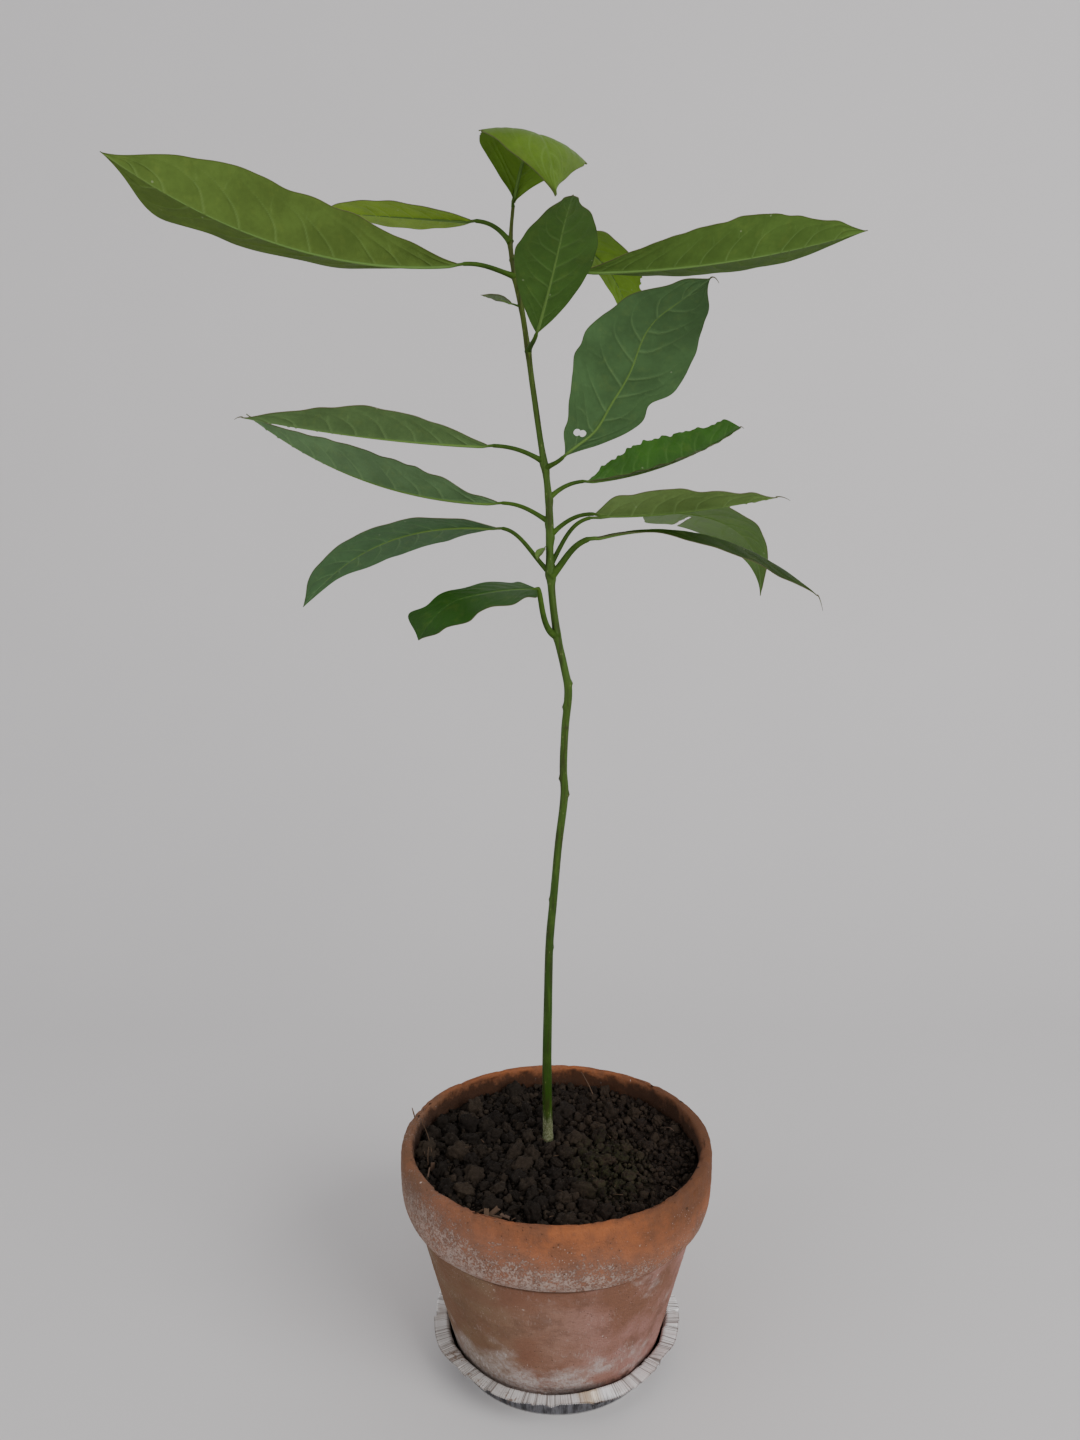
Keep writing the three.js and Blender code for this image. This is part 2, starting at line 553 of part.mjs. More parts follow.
function leafGeometry(spec) {
  const leaf = { ...LEAF_DEFAULTS, ...spec };
  const { left, up, midrib, stalk } = leafLines(leaf);
  const thickness = Math.max(LEAF_LEAST_THICKNESS, leaf.length * LEAF_THICKNESS_PER_LENGTH);
  const rings = [];

  const reachOut = stemRadius(leaf.foot) + STALK_SEAT_GAP;
  const start = (leaf.climb > UPRIGHT_CLIMB ? GAP : reachOut + STALK_SEAT_LENGTH) / leaf.stalk;
  for (let step = 0; step < STALK_STEPS; step += 1) {
    const share = start + (1 - start) * step / STALK_STEPS;
    const ahead = stalk.getTangent(share);
    const radius = THREE.MathUtils.lerp(STALK_FOOT_RADIUS, STALK_TOP_RADIUS, share);
    const slim = Math.min(radius, leaf.width * SLIM_STALK);
    const ring = stalkRing(stalk.getPoint(share), leafFrame(ahead, left, leaf.roll * share), slim);
    rings.push(step === 0 ? seatRing(ring, leaf, ahead) : ring);
  }

  for (let step = 0; step <= BLADE_STEPS; step += 1) {
    const even = step / BLADE_STEPS;
    const share = 0.5 * even + 0.25 * (1 - Math.cos(Math.PI * even));
    const curled = Math.max(0, share - CURL_START) / (1 - CURL_START);
    const drop = leaf.length * leaf.curl * curled ** 2;
    const slope = 2 * leaf.curl * curled / (1 - CURL_START);
    const centre = midrib.getPointAt(share).addScaledVector(up, -drop);
    const ahead = midrib.getTangentAt(share).addScaledVector(up, -slope).normalize();
    const frame = leafFrame(ahead, left, leaf.roll + leaf.twist * share);
    const blade = bladeRing(leaf, share, centre, frame, thickness);
    const slim = Math.min(STALK_TOP_RADIUS, leaf.width * SLIM_STALK);
    const round = stalkRing(centre, frame, slim);
    const flat = THREE.MathUtils.smoothstep(share, 0, STALK_BLEND);
    rings.push(round.map((point, index) => point.lerp(blade[index], flat)));
  }
  return loft(rings);
}

// ---------------------------------------------------------------- the whole plant
function named(name, geometry, material) {
  const mesh = new THREE.Mesh(geometry, material.clone());
  mesh.name = name;
  return mesh;
}

const plant = new THREE.Group();
plant.add(named("foil_pan", panGeometry(), FOIL));
plant.add(named("clay_pot", potGeometry(), CLAY));
plant.add(named("soil", soilGeometry(), EARTH));
plant.add(named("stem", stemGeometry(), BARK));
for (const [name, leaf] of Object.entries(LEAVES)) {
  plant.add(named(name, leafGeometry(leaf), leaf.young ? YOUNG_LEAF : LEAF));
}

export default plant;
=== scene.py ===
"""A young avocado tree in a clay pot that stands in a crimped foil pan."""

import math
import random

import bmesh
import bpy
import numpy as np
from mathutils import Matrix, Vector, noise


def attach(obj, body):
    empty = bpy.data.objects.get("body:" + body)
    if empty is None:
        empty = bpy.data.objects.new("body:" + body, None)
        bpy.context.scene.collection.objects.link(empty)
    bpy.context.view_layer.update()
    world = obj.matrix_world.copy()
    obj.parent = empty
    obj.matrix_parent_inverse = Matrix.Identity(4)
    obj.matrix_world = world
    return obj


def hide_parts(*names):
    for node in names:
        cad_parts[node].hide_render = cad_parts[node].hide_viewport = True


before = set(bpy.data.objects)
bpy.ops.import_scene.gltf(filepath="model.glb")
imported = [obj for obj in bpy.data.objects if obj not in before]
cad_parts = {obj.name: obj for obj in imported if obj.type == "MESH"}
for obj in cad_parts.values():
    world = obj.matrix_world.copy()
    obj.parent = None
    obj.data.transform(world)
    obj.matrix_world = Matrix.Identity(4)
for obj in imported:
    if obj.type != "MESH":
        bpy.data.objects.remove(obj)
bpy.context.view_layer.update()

bl_info = {
    "name": "Potted avocado tree",
    "version": (1, 0, 0),
    "blender": (4, 5, 0),
    "location": "View3D > Sidebar > Avocado",
    "description": "Builds a young avocado tree in a clay pot on a foil pan",
    "category": "Add Mesh",
}

MM = 0.001  # the plant is measured in millimetres and built in metres
BODY = "root"

PLAIN_RADIUS = 60  # millimetres: within it, the floors of pan and pot stay plain

# Foil pan, in millimetres
PAN_FLOOR_RADIUS = 70.5
PAN_FLOOR_THICKNESS = 1.2
PAN_MOUTH_RADIUS = 77.4
PAN_FLANGE_RADIUS = 86.4
PAN_FLANGE_HEIGHT = 22.6
FLANGE_FOLD_ANGLE = -65  # degrees from +X
FLANGE_FOLD_WIDTH = 11  # degrees
FLANGE_FOLD_DROP = 5
POINTS_PER_CRIMP = 4

# Clay pot, in millimetres
POT_BASE = 1.5
POT_FOOT_RADIUS = 68
POT_BODY_RADIUS = 69  # the body cone's radius, carried down to the pan's underside
POT_BODY_SLOPE = 0.255
POT_GROOVE_HEIGHT = 108.8
POT_RIM_HEIGHT = 157
POT_RIM_RADIUS = 107.3
POT_MOUTH_RADIUS = 98.5
POT_WALL = 8.2
POT_FLOOR = 11
POT_SEGMENTS = 340

# Soil, in millimetres
SOIL_HEIGHT = 145
SOIL_RADIUS = 97.2
SOIL_REACH = SOIL_RADIUS - 0.5  # the lumps' outermost places
SOIL_GAP = 0.4  # between the soil and the pot's inside
SOIL_SEGMENTS = 220
STRAW_REACH = 92
LUMP_ROOM = 2.4  # from the stem's axis to the nearest lump
CRUMB_ROOM = 3.6

STEM_SIDES = 28
STEM_FULLNESS = 0.57  # the bark's radius as a share of the solid's diameter
# Stem: rows of height, x, y and diameter, in millimetres
STEM_ROWS = np.array([
    [145, -5.6, 17, 7.0],
    [151, -5.7, 17, 6.2],
    [200, -6.4, 15.6, 5.8],
    [250, -5.7, 15, 5.3],
    [290, -4.8, 16, 5.0],
    [325, -1.8, 17.6, 4.8],
    [360, 1.3, 19, 4.7],
    [395, 5.2, 19.8, 4.9],
    [412, 4.4, 19, 4.6],
    [440, 5.4, 17.4, 4.6],
    [466, 7.4, 15.8, 4.9],
    [482, 4.6, 15.6, 4.6],
    [500, 0.5, 16, 4.5],
    [525, -3.0, 17, 4.4],
    [550, -4.8, 17.8, 4.3],
    [575, -5.0, 18.4, 4.2],
    [600, -6.6, 18.8, 3.9],
    [630, -11.4, 18.6, 3.5],
    [665, -16.5, 17.8, 3.3],
    [700, -21.5, 17, 3.2],
    [728, -27.0, 16.4, 2.7],
    [742, -29.4, 16.4, 2.3],
    [755, -29.2, 16.8, 2.1],
    [768, -28.0, 17, 2.0],
])
# Scars of fallen leaves: height and the way each faces, in degrees from +X
STEM_SCARS = [(471.5, 8), (455.5, 176), (441, 285), (406, 172), (395, 4), (322, 190), (288, 20)]

# Leaves. The first rows of each entry are the solid's own rule for its shape: leaf_lines tells the
# line it follows, bumps are (side, place, spread, gain in width), side 1 for the left, -1 for the
# right and 0 for both, and sag is (place, spread, drop of both margins in millimetres).
# The rest is what the surface adds: colours of the upper face and the underside, side veins and
# their strength, ripple (in the margin's outline) and wave (up and down) as (millimetres, count),
# the midrib's course across the blade as (place, spread, share of the half width), openings as
# rows of (place, across, radius), a dry hook at the tip as (length, drop), the thickness of the
# stalk and midrib, the gloss and a seed.
LEAF_DEFAULTS = dict(
    rise=45, neck=0.38, arch=0.08, bow=0, crest=0.5, curl=0,
    width=50, belly=0.48, tip=1.25, heel=0.95, roll=0, twist=0, fold=12, bumps=(), sag=(0.5, 1, 0),
    upper=(58, 92, 34), under=(84, 110, 62), veins=8, vein=0.2, ripple=(0.35, 6), wave=(0.35, 5),
    course=(), openings=(), hook=None, thick=1.0, gloss=0.2, seed=1,
)
LEAVES = {
    "leaf_tip_curled": dict(
        foot=768, stalk=3, turn=270, climb=80, rise=85, length=64, head=295, lift=-11, arch=0.54,
        crest=0.4, width=70, tip=1.5, heel=1.4, roll=-6.5, fold=3,
        sag=(0.5, 0.4, 9),
        # Painted light: the underside colour is brightened to stand in for light shining through
        # this young leaf.
        upper=(82, 110, 24), under=(104, 138, 50), veins=6, ripple=(0.7, 5), vein=0.3,
        thick=1.25, seed=3,
        openings=(((0.42, -1, 1.2),), ((0.5, -1, 0.9),)),
    ),
    "leaf_top_left_short": dict(
        foot=747, stalk=31, turn=151, climb=32, rise=50, length=119, head=157.5, lift=9, arch=0,
        width=36, roll=13, fold=3,
        bumps=((0, 0.1, 0.07, 0.2), (1, 0.82, 0.12, 0.25)),
        upper=(104, 138, 44), under=(128, 160, 50), veins=7, ripple=(0.2, 4), vein=0.3, seed=2,
    ),
    "leaf_top_right_folded": dict(
        foot=736, stalk=48, turn=45, climb=30, length=79, head=33, lift=-40, arch=0.17, width=55,
        fold=6,
        bumps=(
            (1, 0.6, 0.25, -0.45), (-1, 0.15, 0.15, 0.35), (-1, 0.42, 0.12, -0.12),
            (-1, 0.8, 0.12, 0.1),
        ),
        upper=(112, 146, 38), under=(118, 154, 50), veins=7, ripple=(0.6, 4), vein=0.3, seed=6,
        openings=(((0.7, -1, 1.6),), ((0.75, -1, 2.2),), ((0.81, -1, 1.3),), ((0.35, 1, 1.4),)),
    ),
    "leaf_top_left_long": dict(
        foot=727, stalk=34.5, turn=199, climb=8, rise=14, length=208, head=203.5, lift=10.5,
        arch=-0.095, width=70, belly=0.55, roll=17, twist=32, fold=30,
        bumps=(
            (1, 0.12, 0.08, 0.15), (1, 0.4, 0.05, -0.08), (1, 0.54, 0.1, -0.16),
            (1, 0.93, 0.12, 0.35), (-1, 0.5, 0.17, -0.46), (-1, 0.69, 0.07, -0.25),
            (-1, 0.86, 0.07, 0.65),
        ),
        upper=(66, 100, 30), under=(85, 107, 48), veins=10, ripple=(0.3, 7), vein=0.42,
        gloss=0.06, seed=11,
    ),
    "leaf_top_right_long": dict(
        foot=719, stalk=41, turn=7, climb=17, rise=25, length=195, head=10, lift=10, arch=-0.033,
        width=58, belly=0.52, roll=-20, twist=-12, fold=24,
        bumps=((1, 0.85, 0.16, 0.6), (-1, 0.42, 0.15, -0.08), (-1, 0.93, 0.08, 0.45)),
        upper=(66, 102, 32), under=(80, 106, 48), veins=10, ripple=(0.5, 8), vein=0.4,
        gloss=0.04, seed=12,
    ),
    "leaf_sliver": dict(
        foot=709, stalk=7, turn=226, climb=6, rise=6, length=26, head=221, lift=5, arch=0.03,
        width=6, roll=20, fold=10,
        under=(104, 118, 88), veins=4, ripple=(0.2, 3), wave=(0.2, 3), thick=2.2, seed=4,
    ),
    "leaf_front_upper": dict(
        foot=682, stalk=19.5, turn=288, climb=25, rise=35, length=112, head=281.2, lift=32,
        arch=0.06, bow=0.03, curl=0.08, width=48, fold=10,
        bumps=(
            (0, 0.1, 0.08, 0.05), (-1, 0.7, 0.12, -0.16), (0, 0.86, 0.05, -0.12),
            (0, 0.95, 0.03, 0.5),
        ),
        under=(68, 100, 42), ripple=(0.4, 5), vein=0.35, seed=8,
    ),
    "leaf_left_middle_front": dict(
        foot=614, stalk=35.5, turn=192, climb=16, rise=30, length=153.5, head=195, lift=5,
        arch=-0.02, width=48, heel=1.2, roll=12, fold=31,
        bumps=((1, 0.36, 0.12, -0.07), (1, 0.93, 0.1, 0.3)),
        under=(84, 110, 64), ripple=(0.4, 6), vein=0.5, hook=(5, 2.5), seed=14,
    ),
    "leaf_front_right_holed": dict(
        foot=610, stalk=16.5, turn=323, climb=25, rise=25, length=143, head=314.5, lift=46,
        arch=0, bow=0.085, curl=0.13, width=72, heel=1.2, roll=-30, fold=8,
        bumps=(
            (1, 0.38, 0.06, -0.25), (1, 0.5, 0.3, -0.07), (1, 0.9, 0.12, 0.35),
            (-1, 0.06, 0.05, 0.5), (-1, 0.6, 0.2, 0.06), (-1, 0.77, 0.06, 0.1),
            (-1, 0.94, 0.06, 0.45),
        ),
        under=(71, 101, 60), ripple=(0.7, 5.5), wave=(0.8, 5), vein=0.42, hook=(8, 6),
        seed=9, course=((0.14, 0.11, 0.24), (0.68, 0.18, -0.2)),
        openings=(((0.118, -0.33, 2.3),), ((0.131, -0.08, 2.2),)),
    ),
    "leaf_right_middle_wavy": dict(
        foot=591, stalk=28.5, turn=25, climb=24, rise=40, length=122.5, head=21, lift=18.5,
        arch=-0.06, width=42, belly=0.56, tip=0.85, roll=26, fold=33,
        bumps=(
            (1, 0.12, 0.08, 0.5), (1, 0.3, 0.15, 0.22), (1, 0.66, 0.12, -0.08),
            (1, 0.93, 0.05, 0.5), (0, 0.975, 0.03, 1.3),
        ),
        upper=(50, 92, 20), under=(88, 114, 56), veins=9, ripple=(0.8, 15), wave=(0.7, 9),
        vein=0.3, hook=(4, 3), seed=5,
    ),
    "leaf_left_middle_back": dict(
        foot=576, stalk=36, turn=161, climb=20.5, rise=30, length=186, head=169.5, lift=19,
        arch=-0.082, width=53, roll=19, fold=28,
        bumps=((1, 0.1, 0.04, -0.25), (1, 0.2, 0.04, 0.12), (1, 0.3, 0.03, 0.1)),
        under=(92, 121, 80), veins=9, ripple=(0.8, 6), wave=(0.6, 6), vein=0.6, seed=13,
    ),
    "leaf_right_middle_scarred": dict(
        foot=567, stalk=32.5, turn=350, climb=25.5, length=115, head=347, lift=5, arch=-0.03,
        crest=0.38, width=53, belly=0.42, roll=-9, fold=22,
        bumps=((-1, 0.12, 0.08, 0.35), (-1, 0.6, 0.08, -0.12), (-1, 0.9, 0.06, 0.6)),
        under=(104, 130, 70), veins=7, ripple=(0.5, 5), vein=0.55, hook=(9, 4), seed=15,
    ),
    "leaf_bud": dict(
        foot=561, stalk=4.5, turn=223, climb=-11, rise=0, length=11.5, head=229, lift=-46,
        arch=0.1, width=7, fold=10,
        upper=(96, 122, 58), under=(96, 122, 58), veins=3, ripple=(0.2, 3), wave=(0.1, 3),
    ),
    "leaf_right_lower_drooping": dict(
        foot=548, stalk=44, turn=29, climb=45, rise=55, length=151.5, head=26.5, lift=-21,
        arch=0.24, crest=0.85, width=62, heel=1.5, roll=-20, twist=23, fold=4,
        bumps=(
            (1, 0.13, 0.19, -0.94), (1, 0.44, 0.17, 0.8), (1, 0.74, 0.16, 1.1),
            (-1, 0.5, 0.15, -0.12), (-1, 0.62, 0.08, -0.08),
        ),
        under=(94, 124, 64), ripple=(0.7, 6), vein=0.26, seed=16,
        openings=(
            ((0.6, 1.0, 2.2), (0.566, 0.76, 1.7), (0.535, 0.56, 1.9), (0.51, 0.34, 1.5),
             (0.5, 0.24, 1.1)),
        ),
    ),
    "leaf_left_lower_arched": dict(
        foot=543, stalk=44, turn=166, climb=41.5, rise=42, neck=0.3, length=156, head=164,
        lift=-20, arch=0.13, crest=0.54, width=48, belly=0.52, tip=1.05, roll=22, fold=2,
        bumps=(
            (1, 0.12, 0.06, 0.3), (1, 0.5, 0.13, -0.14), (1, 0.87, 0.08, 0.35),
            (-1, 0.25, 0.17, 0.22), (-1, 0.85, 0.13, -0.45),
        ),
        under=(72, 104, 66), veins=9, ripple=(0.3, 7), vein=0.5, seed=17,
    ),
    "leaf_right_lower_narrow": dict(
        foot=541, stalk=35, turn=353.5, climb=44, rise=44, length=149.5, head=350.5, lift=-13.6,
        arch=0.135, crest=0.47, width=46, belly=0.54, tip=1, roll=5, fold=-10,
        bumps=((0, 0.2, 0.17, -0.55), (-1, 0.45, 0.15, 0.08), (-1, 0.86, 0.1, 0.5)),
        upper=(40, 62, 16), under=(62, 86, 30), ripple=(0.5, 7), hook=(5, 7), thick=1.5,
        gloss=0.03, seed=18,
    ),
    "leaf_left_lowest_glossy": dict(
        foot=502.5, stalk=34.5, turn=209.5, climb=64, rise=8, neck=0.1, length=87, head=208,
        lift=-10, arch=0.055, curl=0.17, width=43, tip=0.9, roll=-20, fold=-2,
        bumps=(
            (-1, 0.92, 0.07, 2.3), (0, 0.05, 0.06, 1.3), (1, 0.3, 0.1, 0.1),
            (1, 0.8, 0.14, 0.75), (1, 0.95, 0.05, 0.8), (1, 0.48, 0.1, -0.14),
            (-1, 0.5, 0.17, -0.36),
        ),
        upper=(36, 74, 12), under=(60, 96, 30), veins=7, ripple=(0.2, 3), wave=(0.1, 3),
        vein=0.06, thick=1.3, gloss=0.25, seed=19,
    ),
}

# Where the solids' rule bends, in the units of its table
ROOT_PULL = 0.38  # share of a stalk that runs on straight where it leaves the stem
CURL_START = 0.6  # share of a blade where its end starts to curl down

STALK_SIDES = 10
STALK_STEP = 1.2  # millimetres between a stalk's rings

# Camera
CAMERA_PLACE = (-0.0113, -0.7028, 0.5628)  # metres
CAMERA_TILT = 80.8  # degrees up from straight down
CAMERA_LENS = 27.35  # millimetres
CAMERA_SENSOR = 36  # millimetres


# ------------------------------------------------------------------------------ colours
def display(red, green, blue):
    """A display colour, from 0 to 255, as the linear colour that a shader takes."""
    def linear(value):
        value /= 255
        return value / 12.92 if value <= 0.04045 else ((value + 0.055) / 1.055) ** 2.4
    return (linear(red), linear(green), linear(blue), 1.0)


def colour_setting(name, description, red, green, blue):
    return bpy.props.FloatVectorProperty(
        name=name, description=description, default=display(red, green, blue),
        size=4, min=0, max=1, subtype="COLOR",
    )


def length_setting(name, description, millimetres):
    return bpy.props.FloatProperty(
        name=name, description=description, default=millimetres * MM, min=0, unit="LENGTH",
    )


def share_setting(name, description, default):
    return bpy.props.FloatProperty(
        name=name, description=description, default=default, min=0, max=2, subtype="FACTOR",
    )


def count_setting(name, description, default):
    return bpy.props.IntProperty(name=name, description=description, default=default, min=0)


# ------------------------------------------------------------------------------ settings
class FoilPanSettings(bpy.types.PropertyGroup):
    """The pan's size and metal"""

    crimps: count_setting("Crimps", "Fine pleats pressed into the wall and flange", 350)
    crimp_depth: length_setting("Crimp depth", "Depth of a pleat on the flange", 0.3)
    metal: colour_setting("Metal", "Colour of clean foil", 252, 251, 250)
    stain: colour_setting("Stain", "Colour of dried soil and lime on the foil", 118, 92, 72)


class ClayPotSettings(bpy.types.PropertyGroup):
    """The pot's colours and wear"""

    clay: colour_setting("Clay", "Fired clay where it is bare", 168, 100, 60)
    body: colour_setting("Body", "Clay of the body, under a thin bloom", 132, 92, 72)
    # This colour also paints shade in the pot's groove and pits.
    damp_and_shade: colour_setting("Damp", "Clay that is wet or dark", 60, 40, 28)
    bloom: colour_setting("Bloom", "Dried lime and salts", 186, 168, 158)
    bloom_amount: share_setting("Bloom amount", "How much of the band the lime covers", 1.0)
    roughness: length_setting("Unevenness", "Height of the clay's uneven surface", 0.35)


class SoilSettings(bpy.types.PropertyGroup):
    """The soil's lumps and colours"""

    big_lumps: count_setting("Large lumps", "Lumps of the largest size", 110)
    lumps: count_setting("Lumps", "Lumps of the middle size", 560)
    crumbs: count_setting("Crumbs", "Crumbs between the lumps", 2300)
    dust: count_setting("Dust", "Finest crumbs", 6000)
    straws: count_setting("Straws", "Short bits of root", 16)
    dark: colour_setting("Dark", "Moist soil", 28, 22, 17)
    light: colour_setting("Light", "Drier soil", 58, 48, 38)
    straw: colour_setting("Straw", "Dry plant bits", 84, 64, 52)


class StemSettings(bpy.types.PropertyGroup):
    """The stem's colours"""

    green: colour_setting("Green", "Green bark of the upper stem", 62, 88, 30)
    shade: colour_setting("Shade", "Darker streaks", 50, 52, 24)
    cork: colour_setting("Cork", "Pale skin at the stem's foot", 138, 140, 112)


class LeafSettings(bpy.types.PropertyGroup):
    """The leaves' thickness, relief and shared colours"""

    thickness: length_setting("Thickness", "Thickness of a blade between its veins", 0.45)
    vein_height: length_setting("Vein height", "How far a side vein stands under a blade", 0.5)
    cell: length_setting("Cell", "Size of the cells in a blade's mesh", 0.8)
    stalk: colour_setting("Stalk", "Leaf stalks", 70, 98, 34)
    vein: colour_setting("Vein", "Side veins and midribs", 112, 136, 86)
    margin: colour_setting("Margin", "Thin brown edge of a blade", 72, 74, 36)


class StageSettings(bpy.types.PropertyGroup):
    """The floor and the light"""

    floor: colour_setting("Floor", "Floor and backdrop", 224, 221, 220)
    window: bpy.props.FloatProperty(
        name="Window", description="Power of the large soft light", default=40, min=0, unit="POWER",
    )
    fill: bpy.props.FloatProperty(
        name="Fill", description="Brightness of the light from all round", default=0.55, min=0,
    )


# ------------------------------------------------------------------------------ mesh tools
def smooth(low, high, value):
    """0 below low, 1 above high and a smooth slope between them."""
    share = np.clip((np.asarray(value, float) - low) / (high - low), 0, 1)
    return share * share * (3 - 2 * share)


def bell(value):
    """1 at 0 and almost nothing at 2 either way."""
    return np.exp(-value ** 2)


def unit(vectors):
    return vectors / np.linalg.norm(vectors, axis=-1, keepdims=True)


def heading(turn, climb):
    """A unit vector that points turn degrees from +X and climb degrees above level."""
    turn, climb = math.radians(turn), math.radians(climb)
    return np.array([
        math.cos(turn) * math.cos(climb), math.sin(turn) * math.cos(climb), math.sin(climb),
    ])


def add_net(bm, points, material=0, wrap=False):
    """A net of faces through a grid of points, row by row. A wrapped net's last column of points
    repeats the first and is merged with it. The result gives each grid place its vertex."""
    rows, columns = points.shape[0] - 1, points.shape[1] - 1
    made = bmesh.ops.create_grid(bm, x_segments=rows, y_segments=columns, size=0.5)["verts"]
    net = {}
    for vert in made:
        place = (round((vert.co.x + 0.5) * rows), round((vert.co.y + 0.5) * columns))
        net[place] = vert
        vert.co = Vector(points[place])
    for face in {face for vert in made for face in vert.link_faces}:
        face.material_index = material
        face.smooth = True
    if wrap:
        bmesh.ops.weld_verts(bm, targetmap={net[r, columns]: net[r, 0] for r in range(rows + 1)})
        net = {(r, c): net[r, c % columns] for r in range(rows + 1) for c in range(columns + 1)}
    return net


def cap_ends(bm, net, material=0):
    """Closes both ends of a wrapped net, each with one face."""
    last_row = max(row for row, _ in net)
    for row in (0, last_row):
        ring = list(dict.fromkeys(net[row, c] for c in range(max(c for _, c in net) + 1)))
        face = bm.faces.new(ring)
        face.material_index = material
        face.smooth = True


def bent_line(shares, start, middle, end):
    """Points of a curve that leaves its start towards the middle and comes to its end from it."""
    t = np.asarray(shares)[:, None]
    return (1 - t) ** 2 * start + 2 * t * (1 - t) * middle + t * t * end


def add_tube(bm, line, radii, sides, material=0, edge_order=2):
    """A closed tube round a line of points. Gives each grid place its vertex."""
    ahead = unit(np.gradient(line, axis=0, edge_order=edge_order))
    left = unit(np.cross(np.array([0.0, 0.0, 1.0]), ahead))
    up = np.cross(ahead, left)
    turns = np.linspace(0, 2 * math.pi, sides + 1)[None, :, None]
    across = left[:, None, :] * np.cos(turns) + up[:, None, :] * np.sin(turns)
    net = add_net(bm, line[:, None, :] + across * radii[:, None, None], material, wrap=True)
    cap_ends(bm, net, material)
    return net


def finish_piece(bm, name, materials, replaces=(), values=None):
    """Turns a bmesh in millimetres into a finished piece that rides with the plant."""
    bmesh.ops.recalc_face_normals(bm, faces=bm.faces)
    bmesh.ops.scale(bm, vec=(MM, MM, MM), verts=bm.verts)
    mesh = bpy.data.meshes.new(name)
    bm.to_mesh(mesh)
    bm.free()
    finish_mesh(mesh, name, materials, replaces, values)


def finish_mesh(mesh, name, materials, replaces=(), values=None):
    """Makes a piece of a mesh: its materials, point values, body and solids."""
    for material in materials:
        mesh.materials.append(material)
    for value_name, numbers in (values or {}).items():
        attribute = mesh.attributes.new(value_name, "FLOAT", "POINT")
        attribute.data.foreach_set("value", np.asarray(numbers, np.float32))
    piece = bpy.data.objects.new(name, mesh)
    bpy.context.scene.collection.objects.link(piece)
    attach(piece, BODY)
    if replaces:
        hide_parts(*replaces)


def turned_bmesh(profile, segments, reshape):
    """A turned solid from its (radius, height) profile, which starts and ends on the axis.
    reshape takes the radius, the angle in radians and the height of every point, as grids, and
    gives the new radii and heights."""
    turns = np.linspace(0, 2 * math.pi, segments + 1)[None, :]
    radius, height = (np.array(profile, float)[:, at:at + 1] + 0 * turns for at in (0, 1))
    radius, height = reshape(radius, turns + 0 * radius, height)
    bm = bmesh.new()
    add_net(bm, round_places(turns, radius, height), wrap=True)
    bmesh.ops.remove_doubles(bm, verts=bm.verts, dist=1e-4)
    return bm


def rough(points, size):
    """Smooth random values from about -1 to 1 at each point, that change over a size."""
    flat = (np.asarray(points, float) / size).reshape(-1, 3)
    return np.reshape([noise.noise(spot) for spot in flat.tolist()], np.shape(points)[:-1])


def round_places(angles, radius, height):
    """Points on a circle or a turned surface, as a grid."""
    across, away = radius * np.cos(angles), radius * np.sin(angles)
    return np.stack([across, away, height + 0 * across], axis=-1)


def refined(profile, spacing):
    """The same profile with points no further apart than spacing."""
    points = [profile[0]]
    for (r0, z0), (r1, z1) in zip(profile, profile[1:]):
        steps = max(1, math.ceil(math.hypot(r1 - r0, z1 - z0) / spacing))
        points += [
            (r0 + (r1 - r0) * step / steps, z0 + (z1 - z0) * step / steps)
            for step in range(1, steps + 1)
        ]
    return points


def rounded(points):
    """A softer line through a profile's points: its corners are cut twice."""
    for _ in range(2):
        cut = [points[0]]
        for (r0, z0), (r1, z1) in zip(points, points[1:]):
            cut.append((0.75 * r0 + 0.25 * r1, 0.75 * z0 + 0.25 * z1))
            cut.append((0.25 * r0 + 0.75 * r1, 0.25 * z0 + 0.75 * z1))
        points = cut + [points[-1]]
    return points


# ------------------------------------------------------------------------------ shader tools
class Signal:
    """A value or colour that changes over a surface. Sums and products make math nodes."""

    def __init__(self, nodes, socket):
        self.nodes = nodes
        self.socket = socket

    def __add__(self, other):
        return self.nodes.math("ADD", self, other)

    def __sub__(self, other):
        return self.nodes.math("SUBTRACT", self, other)

    def __rsub__(self, other):
        return self.nodes.math("SUBTRACT", other, self)

    def __mul__(self, other):
        return self.nodes.math("MULTIPLY", self, other)

    def __truediv__(self, other):
        return self.nodes.math("DIVIDE", self, other)

    def __pow__(self, other):
        return self.nodes.math("POWER", self, other)

    def __abs__(self):
        return self.nodes.math("ABSOLUTE", self)

    def most(self, other):
        return self.nodes.math("MAXIMUM", self, other)

    def slope(self, low, high, start=0.0, end=1.0):
        """start at low, end at high and a smooth slope between them. low may be the larger."""
        inputs = {
            "Value": self, "From Min": low, "From Max": high, "To Min": start, "To Max": end,
        }
        settings = {"interpolation_type": "SMOOTHSTEP"}
        return self.nodes.signal("Result", "ShaderNodeMapRange", inputs, **settings)

    def covered(self, share, colour):
        """This colour, covered with another as far as share says."""
        return self.nodes.mix(share, self, colour)

    def tinted(self, share, red, green, blue):
        """This colour, covered with a display colour as far as share says."""
        return self.covered(share, display(red, green, blue))


